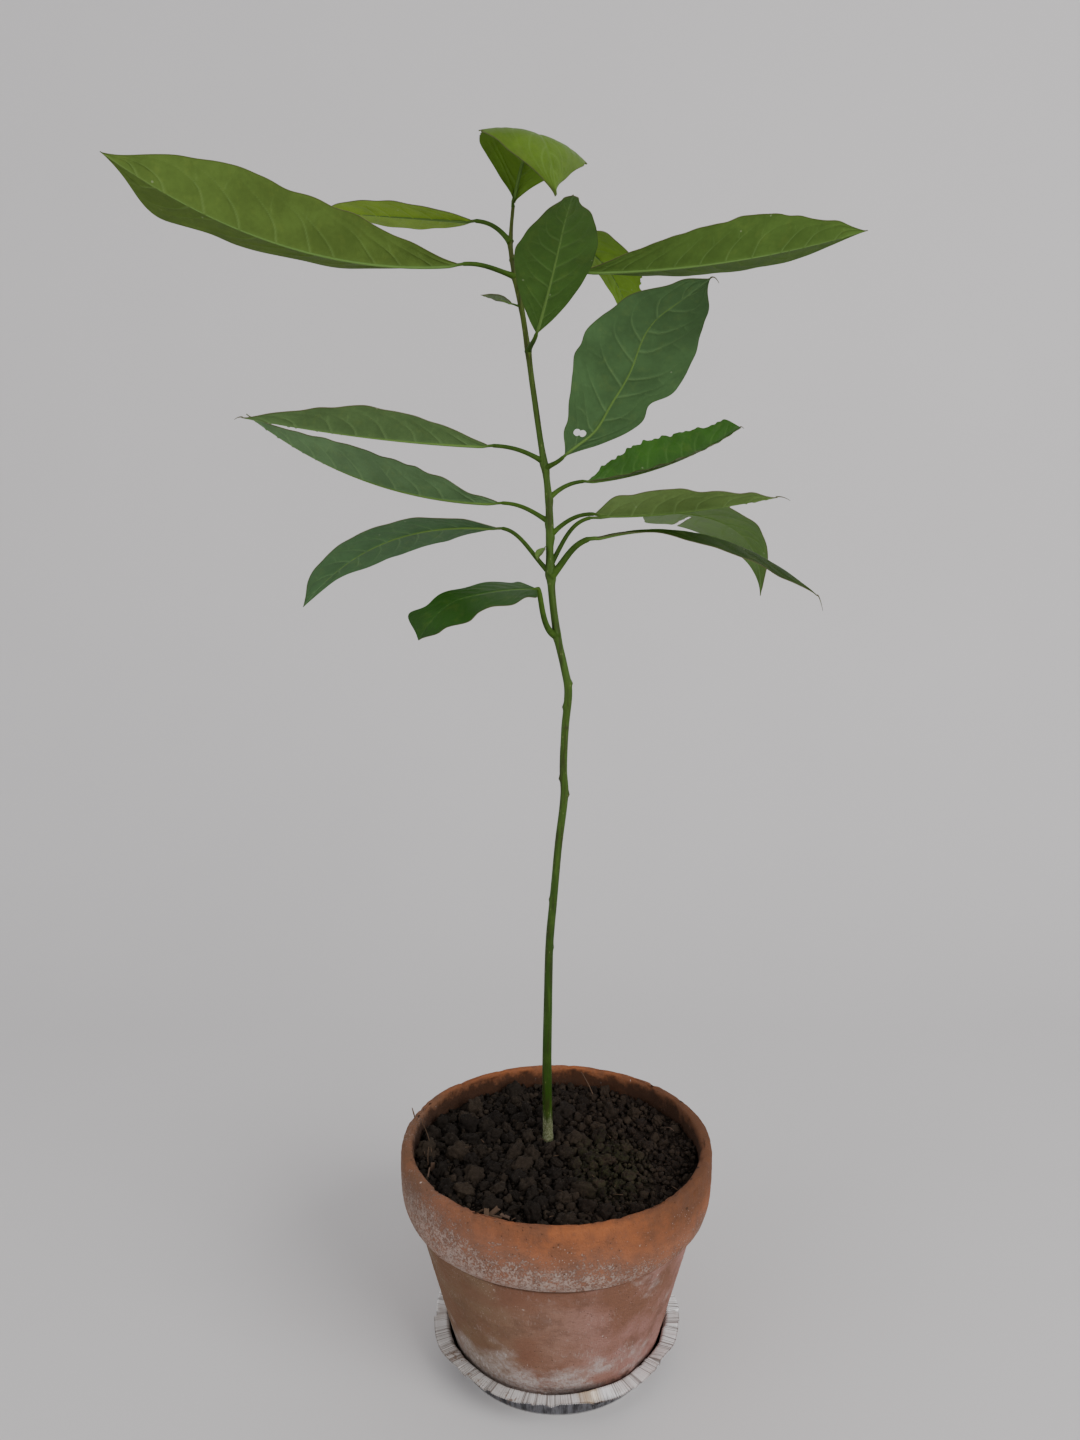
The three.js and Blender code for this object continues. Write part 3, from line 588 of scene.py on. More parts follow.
class Nodes:
    """A material's or a group's node tree, with short ways to add nodes and link them."""

    def __init__(self, tree):
        self.tree = tree

    def add(self, kind, inputs=None, **settings):
        made = self.tree.nodes.new(kind)
        for name, value in settings.items():
            setattr(made, name, value)
        for key, value in (inputs or {}).items():
            self.give(value, made.inputs[key])
        return made

    def give(self, value, socket):
        """Links a signal to an input, or sets a constant on it."""
        if isinstance(value, Signal):
            self.tree.links.new(value.socket, socket)
        else:
            socket.default_value = value

    def signal(self, output, kind, inputs=None, **settings):
        """Adds a node and gives the named or numbered output."""
        return Signal(self, self.add(kind, inputs, **settings).outputs[output])

    def math(self, operation, a, b=0.0):
        return self.signal(0, "ShaderNodeMath", {0: a, 1: b}, operation=operation)

    def mix(self, share, a, b):
        return self.signal(2, "ShaderNodeMix", {0: share, 6: a, 7: b}, data_type="RGBA")

    def noise(self, vector, scale, detail=3.0, roughness=0.55):
        inputs = {"Vector": vector, "Scale": scale, "Detail": detail, "Roughness": roughness}
        return self.signal("Fac", "ShaderNodeTexNoise", inputs)

    def cells(self, vector, scale, feature="F1"):
        inputs = {"Vector": vector, "Scale": scale}
        return self.signal("Distance", "ShaderNodeTexVoronoi", inputs, feature=feature)

    def stretched(self, vector, *scale):
        return self.signal(0, "ShaderNodeMapping", {"Vector": vector, "Scale": scale})

    def place(self):
        return self.signal("Object", "ShaderNodeTexCoord")

    def value(self, name):
        return self.signal("Fac", "ShaderNodeAttribute", attribute_name=name)

    def axes(self, vector):
        made = self.add("ShaderNodeSeparateXYZ", {0: vector})
        return [Signal(self, output) for output in made.outputs]

    def group(self, name, inputs):
        """Adds a shader group and gives its outputs by name."""
        made = self.add("ShaderNodeGroup", inputs, node_tree=bpy.data.node_groups[name])
        return {output.name: Signal(self, output) for output in made.outputs}

    def flecks(self, place, amount, fine, drift):
        inputs = {"Place": place, "Amount": amount, "Fine": fine, "Drift": drift}
        return self.group("flecks", inputs)["Mask"]

    def tissue(self, place, pores):
        made = self.group("tissue", {"Place": place, "Pores": pores})
        return made["Tone"], made["Height"]


def new_material(name):
    """A material and its nodes, which start with a Principled shader."""
    material = bpy.data.materials.new(name)
    material.use_nodes = True
    return material, Nodes(material.node_tree)


def finish_material(nodes, colour, roughness=0.5, specular=0.5, metallic=0.0, height=None,
                    depth=0.0002):
    """Gives the shader signals or constants, and a relief. depth is the relief's size in metres."""
    shader = nodes.tree.nodes["Principled BSDF"]
    given = {
        "Base Color": colour, "Roughness": roughness, "Specular IOR Level": specular,
        "Metallic": metallic,
    }
    if height is not None:
        inputs = {"Height": height, "Distance": depth, "Strength": 1.0}
        given["Normal"] = nodes.signal("Normal", "ShaderNodeBump", inputs)
    for name, value in given.items():
        nodes.give(value, shader.inputs[name])


def new_group(name, inputs, outputs):
    """An empty shader group. inputs gives each number's default and None for a vector, and
    outputs names numbers. Gives the nodes, the inputs as signals and the output node."""
    tree = bpy.data.node_groups.new(name, "ShaderNodeTree")
    for socket, default in inputs.items():
        kind = "NodeSocketVector" if default is None else "NodeSocketFloat"
        made = tree.interface.new_socket(socket, in_out="INPUT", socket_type=kind)
        if default is not None:
            made.default_value = default
    for socket in outputs:
        tree.interface.new_socket(socket, in_out="OUTPUT", socket_type="NodeSocketFloat")
    nodes = Nodes(tree)
    entry = nodes.add("NodeGroupInput")
    given = {key: Signal(nodes, entry.outputs[key]) for key in inputs}
    return nodes, given, nodes.add("NodeGroupOutput")


def build_flecks_group():
    """Flecks: small spots that gather in larger drifts. Amount is a mask that changes over the
    surface: 0 gives none and 1 covers it."""
    inputs = {"Place": None, "Amount": 0.5, "Fine": 900.0, "Drift": 60.0}
    nodes, given, out = new_group("flecks", inputs, ["Mask"])
    fine = nodes.noise(given["Place"], given["Fine"], 3.0, 0.65)
    drift = nodes.noise(given["Place"], given["Drift"], 4.0, 0.6)
    over = fine * 0.6 + drift * 0.4 - (0.78 - given["Amount"] * 0.55)
    nodes.give(over.slope(-0.035, 0.045), out.inputs["Mask"])


def build_tissue_group():
    """Tissue: what the skin of leaves, stalks and stem shares. It gives fine pores, a soft change
    of tone and a height."""
    nodes, given, out = new_group("tissue", {"Place": None, "Pores": 1500.0}, ["Tone", "Height"])
    place = given["Place"]
    pores = nodes.cells(place, given["Pores"], "DISTANCE_TO_EDGE")
    fine = nodes.noise(place, 420.0, 2.0, 0.5)
    tone = nodes.noise(place, 55.0, 3.0, 0.55) * 0.75 + fine * 0.25
    nodes.give(tone, out.inputs["Tone"])
    nodes.give(pores.slope(0.0, 0.12) * 0.4 + fine, out.inputs["Height"])


# ------------------------------------------------------------------------------ foil pan
def facets(dice, degrees, count, size, sharp=0.25):
    """Flat facets round the pan: straight slopes between random angles, as many as count. A
    share of them, sharp, meet at a small step."""
    at = np.sort(dice.uniform(-180, 180, count))
    levels = dice.uniform(-size, size, count)
    stepped = dice.uniform(size=count) < sharp
    at = np.concatenate([at, at[stepped] + 0.7])
    levels = np.concatenate([levels, dice.uniform(-size, size, stepped.sum())])
    return np.interp(degrees, at[np.argsort(at)], levels[np.argsort(at)], period=360)


def pan_dent(angle):
    """How far the pan's mouth is pressed in or pulled out at an angle, in millimetres."""
    return 0.7 * np.sin(3 * angle + 0.6) + 0.45 * np.sin(7 * angle + 2) + 0.3 * np.sin(11 * angle)


def foil_material(settings):
    material, nodes = new_material("foil")
    place = nodes.place()
    x, y, z = nodes.axes(place)
    turn = nodes.math("ARCTAN2", y, x)

    def lines_round(share):
        """Lines that run across the flange and up the wall, share of them to each radian."""
        where = nodes.signal(0, "ShaderNodeCombineXYZ", {0: turn * share, 1: z * 60.0})
        return nodes.noise(where, 1.0, 4.0, 0.65)

    lines = lines_round(84.0)
    bands = lines_round(21.0)
    patches = nodes.noise(place, 70.0, 3.0, 0.6)
    crease = nodes.value("crease")
    front_left = x.slope(0.012, -0.03) * y.slope(0.0, -0.05)
    dirt = nodes.flecks(place, front_left * 0.30 + 0.06 + crease * 0.14, 520.0, 70.0)
    # Painted shade: the flange is darker and browner at its left front.
    shaded_side = x.slope(0.0, -0.045) * y.slope(0.02, -0.03)
    # Painted highlight: a warm golden glint at the flange's front.
    from_golden_glint = abs(turn + 1.31)

    # Painted reflections: the flange's bright and dark streaks stand in for light glancing off its
    # crinkles.
    metal = nodes.mix(lines.slope(0.34, 0.52), display(142, 136, 132), settings.metal)
    metal = metal.tinted(bands.slope(0.54, 0.70, 0.0, 0.55), 126, 120, 116)
    metal = metal.tinted(patches.slope(0.50, 0.72, 0.0, 0.35), 176, 158, 140)
    metal = metal.tinted(shaded_side * 0.45, 140, 128, 118)
    metal = metal.tinted(from_golden_glint.slope(0.13, 0.05, 0.0, 0.6), 206, 176, 132)
    # Painted shade in the valleys of the flange's pleats.
    metal = metal.tinted(crease * 0.3, 104, 96, 90)
    # The wall's dark grey, with lighter flutes, is a painted reflection of a dark floor.
    wall = nodes.mix(bands.slope(0.36, 0.62), display(36, 36, 40), display(124, 124, 130))
    # Painted shade in the valleys of the wall's pleats.
    wall = wall.tinted(crease * 0.6, 44, 42, 44)
    # Painted highlight: a pale line along the foot of the wall.
    wall = wall.tinted(z.slope(0.0022, 0.0008), 190, 190, 190)
    colour = wall.covered(z.slope(0.0165, 0.0195), metal).covered(dirt * 0.8, settings.stain)
    finish_material(
        nodes, colour, lines.slope(0.3, 0.7, 0.22, 0.40) + dirt * 0.3,
        metallic=z.slope(0.0165, 0.0195, 0.7, 0.25), height=lines, depth=0.00025,
    )
    return material


class PLANT_OT_foil_pan(bpy.types.Operator):
    """Make the crimped foil pan"""

    bl_idname = "plant.foil_pan"
    bl_label = "Foil pan"

    def execute(self, context):
        settings = context.scene.foil_pan
        top, floor = PAN_FLANGE_HEIGHT, PAN_FLOOR_RADIUS
        mouth, flange = PAN_MOUTH_RADIUS, PAN_FLANGE_RADIUS
        below = [(0, 0), (30, 0), (55, 0), (floor - 1.5, 0), (floor - 0.3, 0.5)]
        outside = refined([(floor + 0.2, 1.6), (mouth - 0.4, top - 1.6)], 2.6)
        lip = refined([(mouth + 0.8, top - 0.7), (flange - 1.5, top - 0.5)], 1.6)
        lip += [(flange - 0.7, top - 1.1), (flange, top - 0.8), (flange + 0.1, top - 0.2)]
        lip += refined([(flange - 0.8, top), (mouth + 0.4, top - 0.2)], 1.5)
        inside = refined([(mouth - 0.8, top - 1.1), (floor - 0.4, 1.9)], 2.6)
        above = [(radius, PAN_FLOOR_THICKNESS - 0.1) for radius in (floor - 1.6, 55, 30, 0)]

        segments = settings.crimps * POINTS_PER_CRIMP
        angles = np.linspace(0, 2 * math.pi, segments + 1)
        degrees = np.degrees(angles)
        dice = np.random.default_rng(23)
        round_line = round_places(angles, 9.0, 0.0)
        beat = settings.crimps * angles + 2.8 * rough(round_line, 1.0)
        strength = settings.crimp_depth / MM * (0.6 + 1.2 * np.abs(rough(round_line, 0.7)))
        crimp = np.sin(beat) * strength
        crease = smooth(0.1, 0.9, -np.sin(beat)) * smooth(0.1, 0.4, strength)
        tilt = facets(dice, degrees, 64, 1.15)
        ragged = facets(dice, degrees, 50, 1.25, 0.5)
        edge = facets(dice, degrees, 30, 1.15)
        fold = (degrees - FLANGE_FOLD_ANGLE + 180) % 360 - 180
        notch = np.clip(1 - np.abs(fold + 8) / 3.2, 0, 1)
        drop = FLANGE_FOLD_DROP * bell(fold / FLANGE_FOLD_WIDTH) + 2.2 * notch

        def reshape(radius, turns, height):
            up = np.clip(height / top, 0, 1)
            out = np.clip((radius - mouth) / (flange - mouth), 0, 1)
            wall = np.clip(up * 1.4 - 0.2, 0, 1) * (1 - out) * (radius > PLAIN_RADIUS)
            radius = radius + pan_dent(turns) * up * up - drop * out * 0.35
            uneven = edge * out + ragged * (1 - out) * wall
            radius = radius + crimp * wall * 0.7 + uneven * up ** 4
            height = height + (crimp - drop + 1.6 * tilt) * out + (ragged * 0.5) * wall * up ** 6
            return radius, np.maximum(height, 0)

        bm = turned_bmesh(below + outside + lip + inside + above, segments, reshape)
        around = [math.atan2(vert.co.y, vert.co.x) for vert in bm.verts]
        values = np.interp(around, angles, crease, period=2 * math.pi)
        finish_piece(bm, "pan", [foil_material(settings)], ["foil_pan"], {"crease": values})
        return {"FINISHED"}


# ------------------------------------------------------------------------------ clay pot
def body_radius(height):
    """The pot's outer radius below its band, in millimetres."""
    return POT_BODY_RADIUS + POT_BODY_SLOPE * height


def pot_profile():
    """The pot's profile, from under its foot up the outside, over the rim and down to its floor."""
    groove, rim, top = POT_GROOVE_HEIGHT, POT_RIM_RADIUS, POT_RIM_HEIGHT
    mouth, floor = POT_MOUTH_RADIUS, POT_BASE + POT_FLOOR
    band = [(10.5, 0.7), (7.3, 2.7), (3.3, 6.7), (1.3, 11.7), (0.3, 18.2), (0, 29.2)]
    edge = [(0, 11), (0.1, 5), (0.8, 1.5), (2.6, 0)]
    outside = [(body_radius(4), 4), (body_radius(groove - 1.6), groove - 1.6),
               (body_radius(groove) - 0.8, groove)]
    outside += rounded(
        [(rim - short, groove + above) for short, above in band]
        + [(rim - short, top - under) for short, under in edge]
        + [(mouth + 2.2, top), (mouth + 0.5, top - 1.2), (mouth, top - 3)]
    )
    inside = [(mouth - 1.6, groove + 18), (body_radius(groove) - POT_WALL, groove),
              (body_radius(floor + 6) - POT_WALL, floor + 6),
              (body_radius(floor) - POT_WALL - 5, floor)]
    foot = [(0, POT_BASE), (POT_FOOT_RADIUS, POT_BASE)]
    down = refined([(mouth, top - 3)] + inside, 3)[1:]
    return foot + refined(outside, 1.5) + down + [(0, floor)]


def clay_material(settings):
    material, nodes = new_material("clay")
    place = nodes.place()
    x, y, z = nodes.axes(place)
    reach = nodes.math("SQRT", x ** 2.0 + y ** 2.0)
    side = x / reach
    rear = y / reach
    big = nodes.noise(place, 20.0, 4.0, 0.6)
    middle = nodes.noise(place, 80.0, 4.0, 0.62)
    grain = nodes.noise(place, 420.0, 4.0, 0.7)
    fine = nodes.noise(place, 1300.0, 3.0, 0.6)

    # Bare clay: orange on the band, browner and pinker on the body, mottled everywhere. The body's
    # darker, browner left is partly painted shade, and the band's darker sides are painted shade.
    band = z.slope(0.108, 0.111)
    bare = nodes.mix(middle.slope(0.34, 0.66), settings.clay, display(136, 86, 58))
    # Partly painted shade: the body runs from a darker, browner left to a pinker right.
    pinker = nodes.mix(side.slope(-0.7, 0.75), display(138, 110, 86), display(166, 122, 112))
    body = nodes.mix(big.slope(0.38, 0.64), settings.body, pinker)
    # Painted shade: the band darker towards its sides, most on the right.
    side_shade = abs(side - 0.05).slope(0.25, 0.8) * z.slope(0.122, 0.15)
    side_shade = side_shade * side.slope(-0.6, 0.0, 0.45, 1.0)
    colour = nodes.mix(band, body, bare).tinted(side_shade * 0.8, 100, 68, 48)
    mottled = nodes.noise(place, 46.0, 4.0, 0.65).slope(0.50, 0.66)
    colour = colour.tinted(mottled * 0.42, 104, 72, 56)
    colour = colour.tinted(grain.slope(0.52, 0.72, 0.0, 0.4), 112, 78, 58)

    # Lime on the band: dense low down, thinner and softly ended higher up, highest on the left
    level = z + (big - 0.5) * 0.035 - side.slope(-0.1, -0.8, 0.0, 0.022)
    amount = level.slope(0.155, 0.112, 0.18, 0.56) - side.slope(0.15, 0.85, 0.0, 0.12)
    amount = amount * rear.slope(0.9, 0.1, 0.45, 1.0) * band * settings.bloom_amount
    lime = nodes.flecks(place, amount, 760.0, 240.0)
    thick = nodes.flecks(place, amount * 0.85, 900.0, 62.0)
    colour = colour.tinted(amount.slope(0.10, 0.55) * 0.45, 138, 112, 100)
    colour = colour.covered(lime * 0.55, settings.bloom).covered(thick * 0.34, settings.bloom)

    # Thin lime on the body, most of it low down, in front and at the left, painted shade on the
    # left side, and scratches
    off_band = 1.0 - band
    cloud = nodes.noise(nodes.stretched(place, 1.0, 1.0, 1.4), 34.0, 5.0, 0.62)
    low = z.slope(0.075, 0.018) * side.slope(0.9, -0.5, 0.35, 1.0)
    where = low.most(side.slope(0.72, 0.95, 0.0, 0.22))
    film = (cloud + where * 0.33).slope(0.58, 0.86) * off_band * grain.slope(0.36, 0.6, 0.45, 1.0)
    colour = colour.tinted(film * 0.75, 200, 190, 186)
    # Painted shade: darker on the left side of the body and at the far left edge.
    shaded_left = (side.slope(-0.15, -0.75) * off_band).most(side.slope(-0.65, -0.95, 0.0, 0.7))
    colour = colour.tinted(shaded_left * 0.4, 92, 76, 52)
    scratches = nodes.noise(nodes.stretched(place, 1.0, 1.0, 0.35), 520.0, 3.0, 0.7)
    scratches = scratches.slope(0.56, 0.64) * cloud.slope(0.42, 0.6) * off_band * (where + 0.25)
    colour = colour.tinted(scratches * 0.55, 206, 194, 186)

    # White chips and grains
    spots = nodes.cells(nodes.stretched(place, 1.0, 1.0, 0.7), 105.0) + (grain - 0.5) * 0.5
    spots = spots.slope(0.07, 0.03) * middle.slope(0.50, 0.56)
    colour = colour.tinted(spots * 0.75, 224, 210, 200)
    grains = nodes.cells(place, 480.0).slope(0.22, 0.12) * middle.slope(0.48, 0.6)
    grains = grains * z.slope(0.07, 0.12, 0.35, 1.0) * z.slope(0.152, 0.146)
    colour = colour.tinted(grains * 0.45, 214, 198, 188)

    # Dark places: painted shade in the groove and the pits, stains on the right of the rim, wet
    # clay at the foot and the wall next to the soil
    # Painted shade in the groove and in the pits.
    groove_shade = abs(z - POT_GROOVE_HEIGHT * MM).slope(0.0017, 0.0004) * reach.slope(0.0935, 0.0945)
    pits = nodes.cells(place, 300.0).slope(0.16, 0.09) * middle.slope(0.5, 0.58)
    stains = nodes.cells(place, 92.0).slope(0.15, 0.09) * side.slope(0.3, 0.85)
    stains = stains * z.slope(0.134, 0.146)
    foot = z.slope(0.0285, 0.0205) * (side - rear).slope(0.7, 1.2) * middle.slope(0.36, 0.56)
    soiled = (z + (middle - 0.5) * 0.03).slope(0.158, 0.150)
    inner = reach.slope(0.1012, 0.0992) * z.slope(0.116, 0.119) * soiled
    dark = (groove_shade * 0.75).most(pits * 0.5).most(stains * 0.85).most(foot * 0.75).most(inner * 0.9)
    colour = colour.covered(dark, settings.damp_and_shade)

    height = fine + lime * 0.6 + grain * 1.2 - pits * 0.8
    dull = fine.slope(0.3, 0.7, 0.78, 0.95)
    finish_material(nodes, colour, dull, 0.25, height=height, depth=0.0009)
    return material


class PLANT_OT_clay_pot(bpy.types.Operator):
    """Make the weathered clay pot"""

    bl_idname = "plant.clay_pot"
    bl_label = "Clay pot"

    def execute(self, context):
        settings = context.scene.clay_pot
        uneven = settings.roughness / MM
        dice = random.Random(5)
        # Chips: how many, between which heights and of which sizes, and two that show in front
        rows = ((80, 150, 157.5, 1.0, 2.6), (90, 30, 140, 0.8, 1.6))
        chips = [(dice.uniform(-180, 180), dice.uniform(low, high), dice.uniform(least, most))
                 for count, low, high, least, most in rows for _ in range(count)]
        chips += [(-61, 104.5, 3.4), (-58, 106, 2.6)]

        def reshape(radius, turns, height):
            spots = round_places(turns, radius, height)
            swell = rough(spots, 34) * 1.3 + rough(spots, 9) * 0.6
            grit = rough(spots, 2.6) * 0.5
            rings = 0.25 * np.sin(height * 1.3 + 0.6 * np.sin(turns * 3))
            push = uneven * (swell + grit + rings - 0.8)
            for at, level, size in chips:
                near = ((np.degrees(turns) - at + 180) % 360 - 180) * math.radians(1) * radius
                push = push - 0.55 * size * np.exp(-(near ** 2 + (height - level) ** 2) / size ** 2)
            outside = (radius > POT_MOUTH_RADIUS + 3) | (height < POT_GROOVE_HEIGHT)
            settled = rough(round_places(turns, 2.0, 7.0), 1) * 0.5
            lifted = height + uneven * ((swell + grit) * 0.6 + settled)
            height = np.where(height > POT_RIM_HEIGHT - 3, lifted, height)
            moved = np.minimum(radius + np.where(outside, push, -push), POT_RIM_RADIUS)
            return np.where(radius < PLAIN_RADIUS, radius, moved), height

        bm = turned_bmesh(pot_profile(), POT_SEGMENTS, reshape)
        finish_piece(bm, "pot", [clay_material(settings)], ["clay_pot"])
        return {"FINISHED"}


# ------------------------------------------------------------------------------ soil
def soil_height(x, y):
    """Height of the soil's surface without its lumps, in millimetres. It takes grids too."""
    reach = np.hypot(x, y) / SOIL_RADIUS
    waves = np.sin(x / 13 + 1) * np.cos(y / 11) + 0.6 * np.sin(x / 7 - y / 9 + 2)
    return SOIL_HEIGHT + 1.0 * waves * (1 - reach ** 6) - 1.2 * reach ** 4


def soil_material(settings, name, fineness):
    material, nodes = new_material(name)
    place = nodes.place()
    x, y, _ = nodes.axes(place)
    grain = nodes.noise(place, 1500.0, 4.0, 0.7)
    crumb = nodes.noise(place, fineness, 4.0, 0.65)
    light = (nodes.value("tone") * 0.62 + crumb * 0.5).slope(0.3, 1.02)
    warm = x.slope(-0.02, 0.05) * grain.slope(0.5, 0.66)
    from_algae = ((x - 0.036) * 30.0) ** 2.0 + ((y + 0.02) * 20.0) ** 2.0
    algae = from_algae.slope(1.0, 0.1) * crumb.slope(0.42, 0.6)
    glints = nodes.cells(place, 520.0).slope(0.12, 0.06)
    colour = nodes.mix(light, settings.dark, settings.light)
    colour = colour.tinted(warm * 0.55, 78, 54, 40).tinted(algae * 0.4, 52, 58, 28)
    colour = colour.tinted(glints * 0.3, 128, 108, 88)
    dull = grain.slope(0.3, 0.7, 0.7, 0.95)
    finish_material(nodes, colour, dull, 0.2, height=crumb * 0.9 + grain * 0.6, depth=0.0010)
    return material


def lump_shape(subdivisions, seed):
    """One rugged lump of about unit size: its points and faces."""
    bm = bmesh.new()
    bmesh.ops.create_icosphere(bm, subdivisions=subdivisions, radius=1.0)
    shift = Vector((seed * 3.1, seed * 1.7, seed * 0.9))
    for vert in bm.verts:
        spot = vert.co.copy()
        push = noise.noise(spot * 1.1 + shift) * 0.38 + noise.noise(spot * 2.4 + shift) * 0.30
        ridge = 0.35 - abs(noise.noise(spot * 3.4 - shift))
        push += ridge * 0.30 + noise.noise(spot * 6.5 + shift) * 0.16
        vert.co = spot * (0.92 + push)
    points = np.array([vert.co for vert in bm.verts])
    faces = np.array([[vert.index for vert in face.verts] for face in bm.faces])
    bm.free()
    return points, faces


def turn_matrix(dice):
    """A random turn, as a 3 by 3 matrix."""
    axis = unit(dice.normal(size=3))
    angle = dice.uniform(0, 2 * math.pi)
    cross = np.array([
        [0, -axis[2], axis[1]], [axis[2], 0, -axis[0]], [-axis[1], axis[0], 0],
    ])
    return np.eye(3) + math.sin(angle) * cross + (1 - math.cos(angle)) * cross @ cross


def make_lumps(dice, places, name, shapes, material, rise):
    """One piece of many lumps. places holds each lump's place and size, and rise tells how far it
    stands out of the bed, as a share of its size."""
    tones = [0.15 + 0.85 * dice.uniform() ** 1.4 for _ in places]
    all_points, all_faces = [], []
    count = 0
    for number, (x, y, size) in enumerate(places):
        points, faces = shapes[number % len(shapes)]
        stretch = dice.uniform(0.62, 1.25, 3)
        centre = np.array([x, y, soil_height(x, y) - 0.8 + size * rise])
        all_points.append((points * stretch) @ turn_matrix(dice).T * size + centre)
        all_faces.append(faces + count)
        count += len(points)
    mesh = bpy.data.meshes.new(name)
    faces = np.concatenate(all_faces)
    mesh.from_pydata(np.concatenate(all_points) * MM, [], faces.tolist())
    mesh.polygons.foreach_set("use_smooth", np.ones(len(faces), bool))
    mesh.update()
    values = np.repeat(tones, [len(points) for points in all_points])
    finish_mesh(mesh, name, [material], values={"tone": values})


def random_spot(dice, limit):
    """A random place in a circle."""
    angle, reach = dice.uniform(0, 2 * math.pi), limit * math.sqrt(dice.uniform())
    return reach * math.cos(angle), reach * math.sin(angle)


def spaced_places(dice, count, sizes, bias, tries, apart, taken):
    """Places and sizes for lumps that don't crowd each other or those in taken, which grows.
    sizes gives the least and greatest radius, and a positive bias sends the larger ones to the
    left. Each lump has some tries to find room, or is left out."""
    places = []
    stem = stem_point(SOIL_HEIGHT)
    for _ in range(count):
        for _ in range(tries):
            x, y = random_spot(dice, SOIL_REACH)
            lean = 0.5 - bias * x / SOIL_REACH
            share = dice.uniform() ** (1.2 / max(0.15, lean + 0.5))
            size = sizes[0] + (sizes[1] - sizes[0]) * share
            if math.hypot(x, y) + size * 0.8 > SOIL_REACH or dice.uniform() > lean + 0.5:
                continue
            if math.hypot(x - stem[0], y - stem[1]) < LUMP_ROOM + size:
                continue
            if any((x - a) ** 2 + (y - b) ** 2 < (apart * (size + c)) ** 2 for a, b, c in taken):
                continue
            taken.append((x, y, size))
            places.append((x, y, size))
            break
    return places


def loose_places(dice, count, least, spread):
    """Places and sizes for small lumps anywhere in the pot's mouth, but not in the stem."""
    stem = stem_point(SOIL_HEIGHT)
    places = []
    while len(places) < count:
        x, y = random_spot(dice, SOIL_REACH)
        size = least + spread * dice.uniform() ** 2
        if math.hypot(x - stem[0], y - stem[1]) > CRUMB_ROOM + size:
            places.append((x, y, size))
    return places


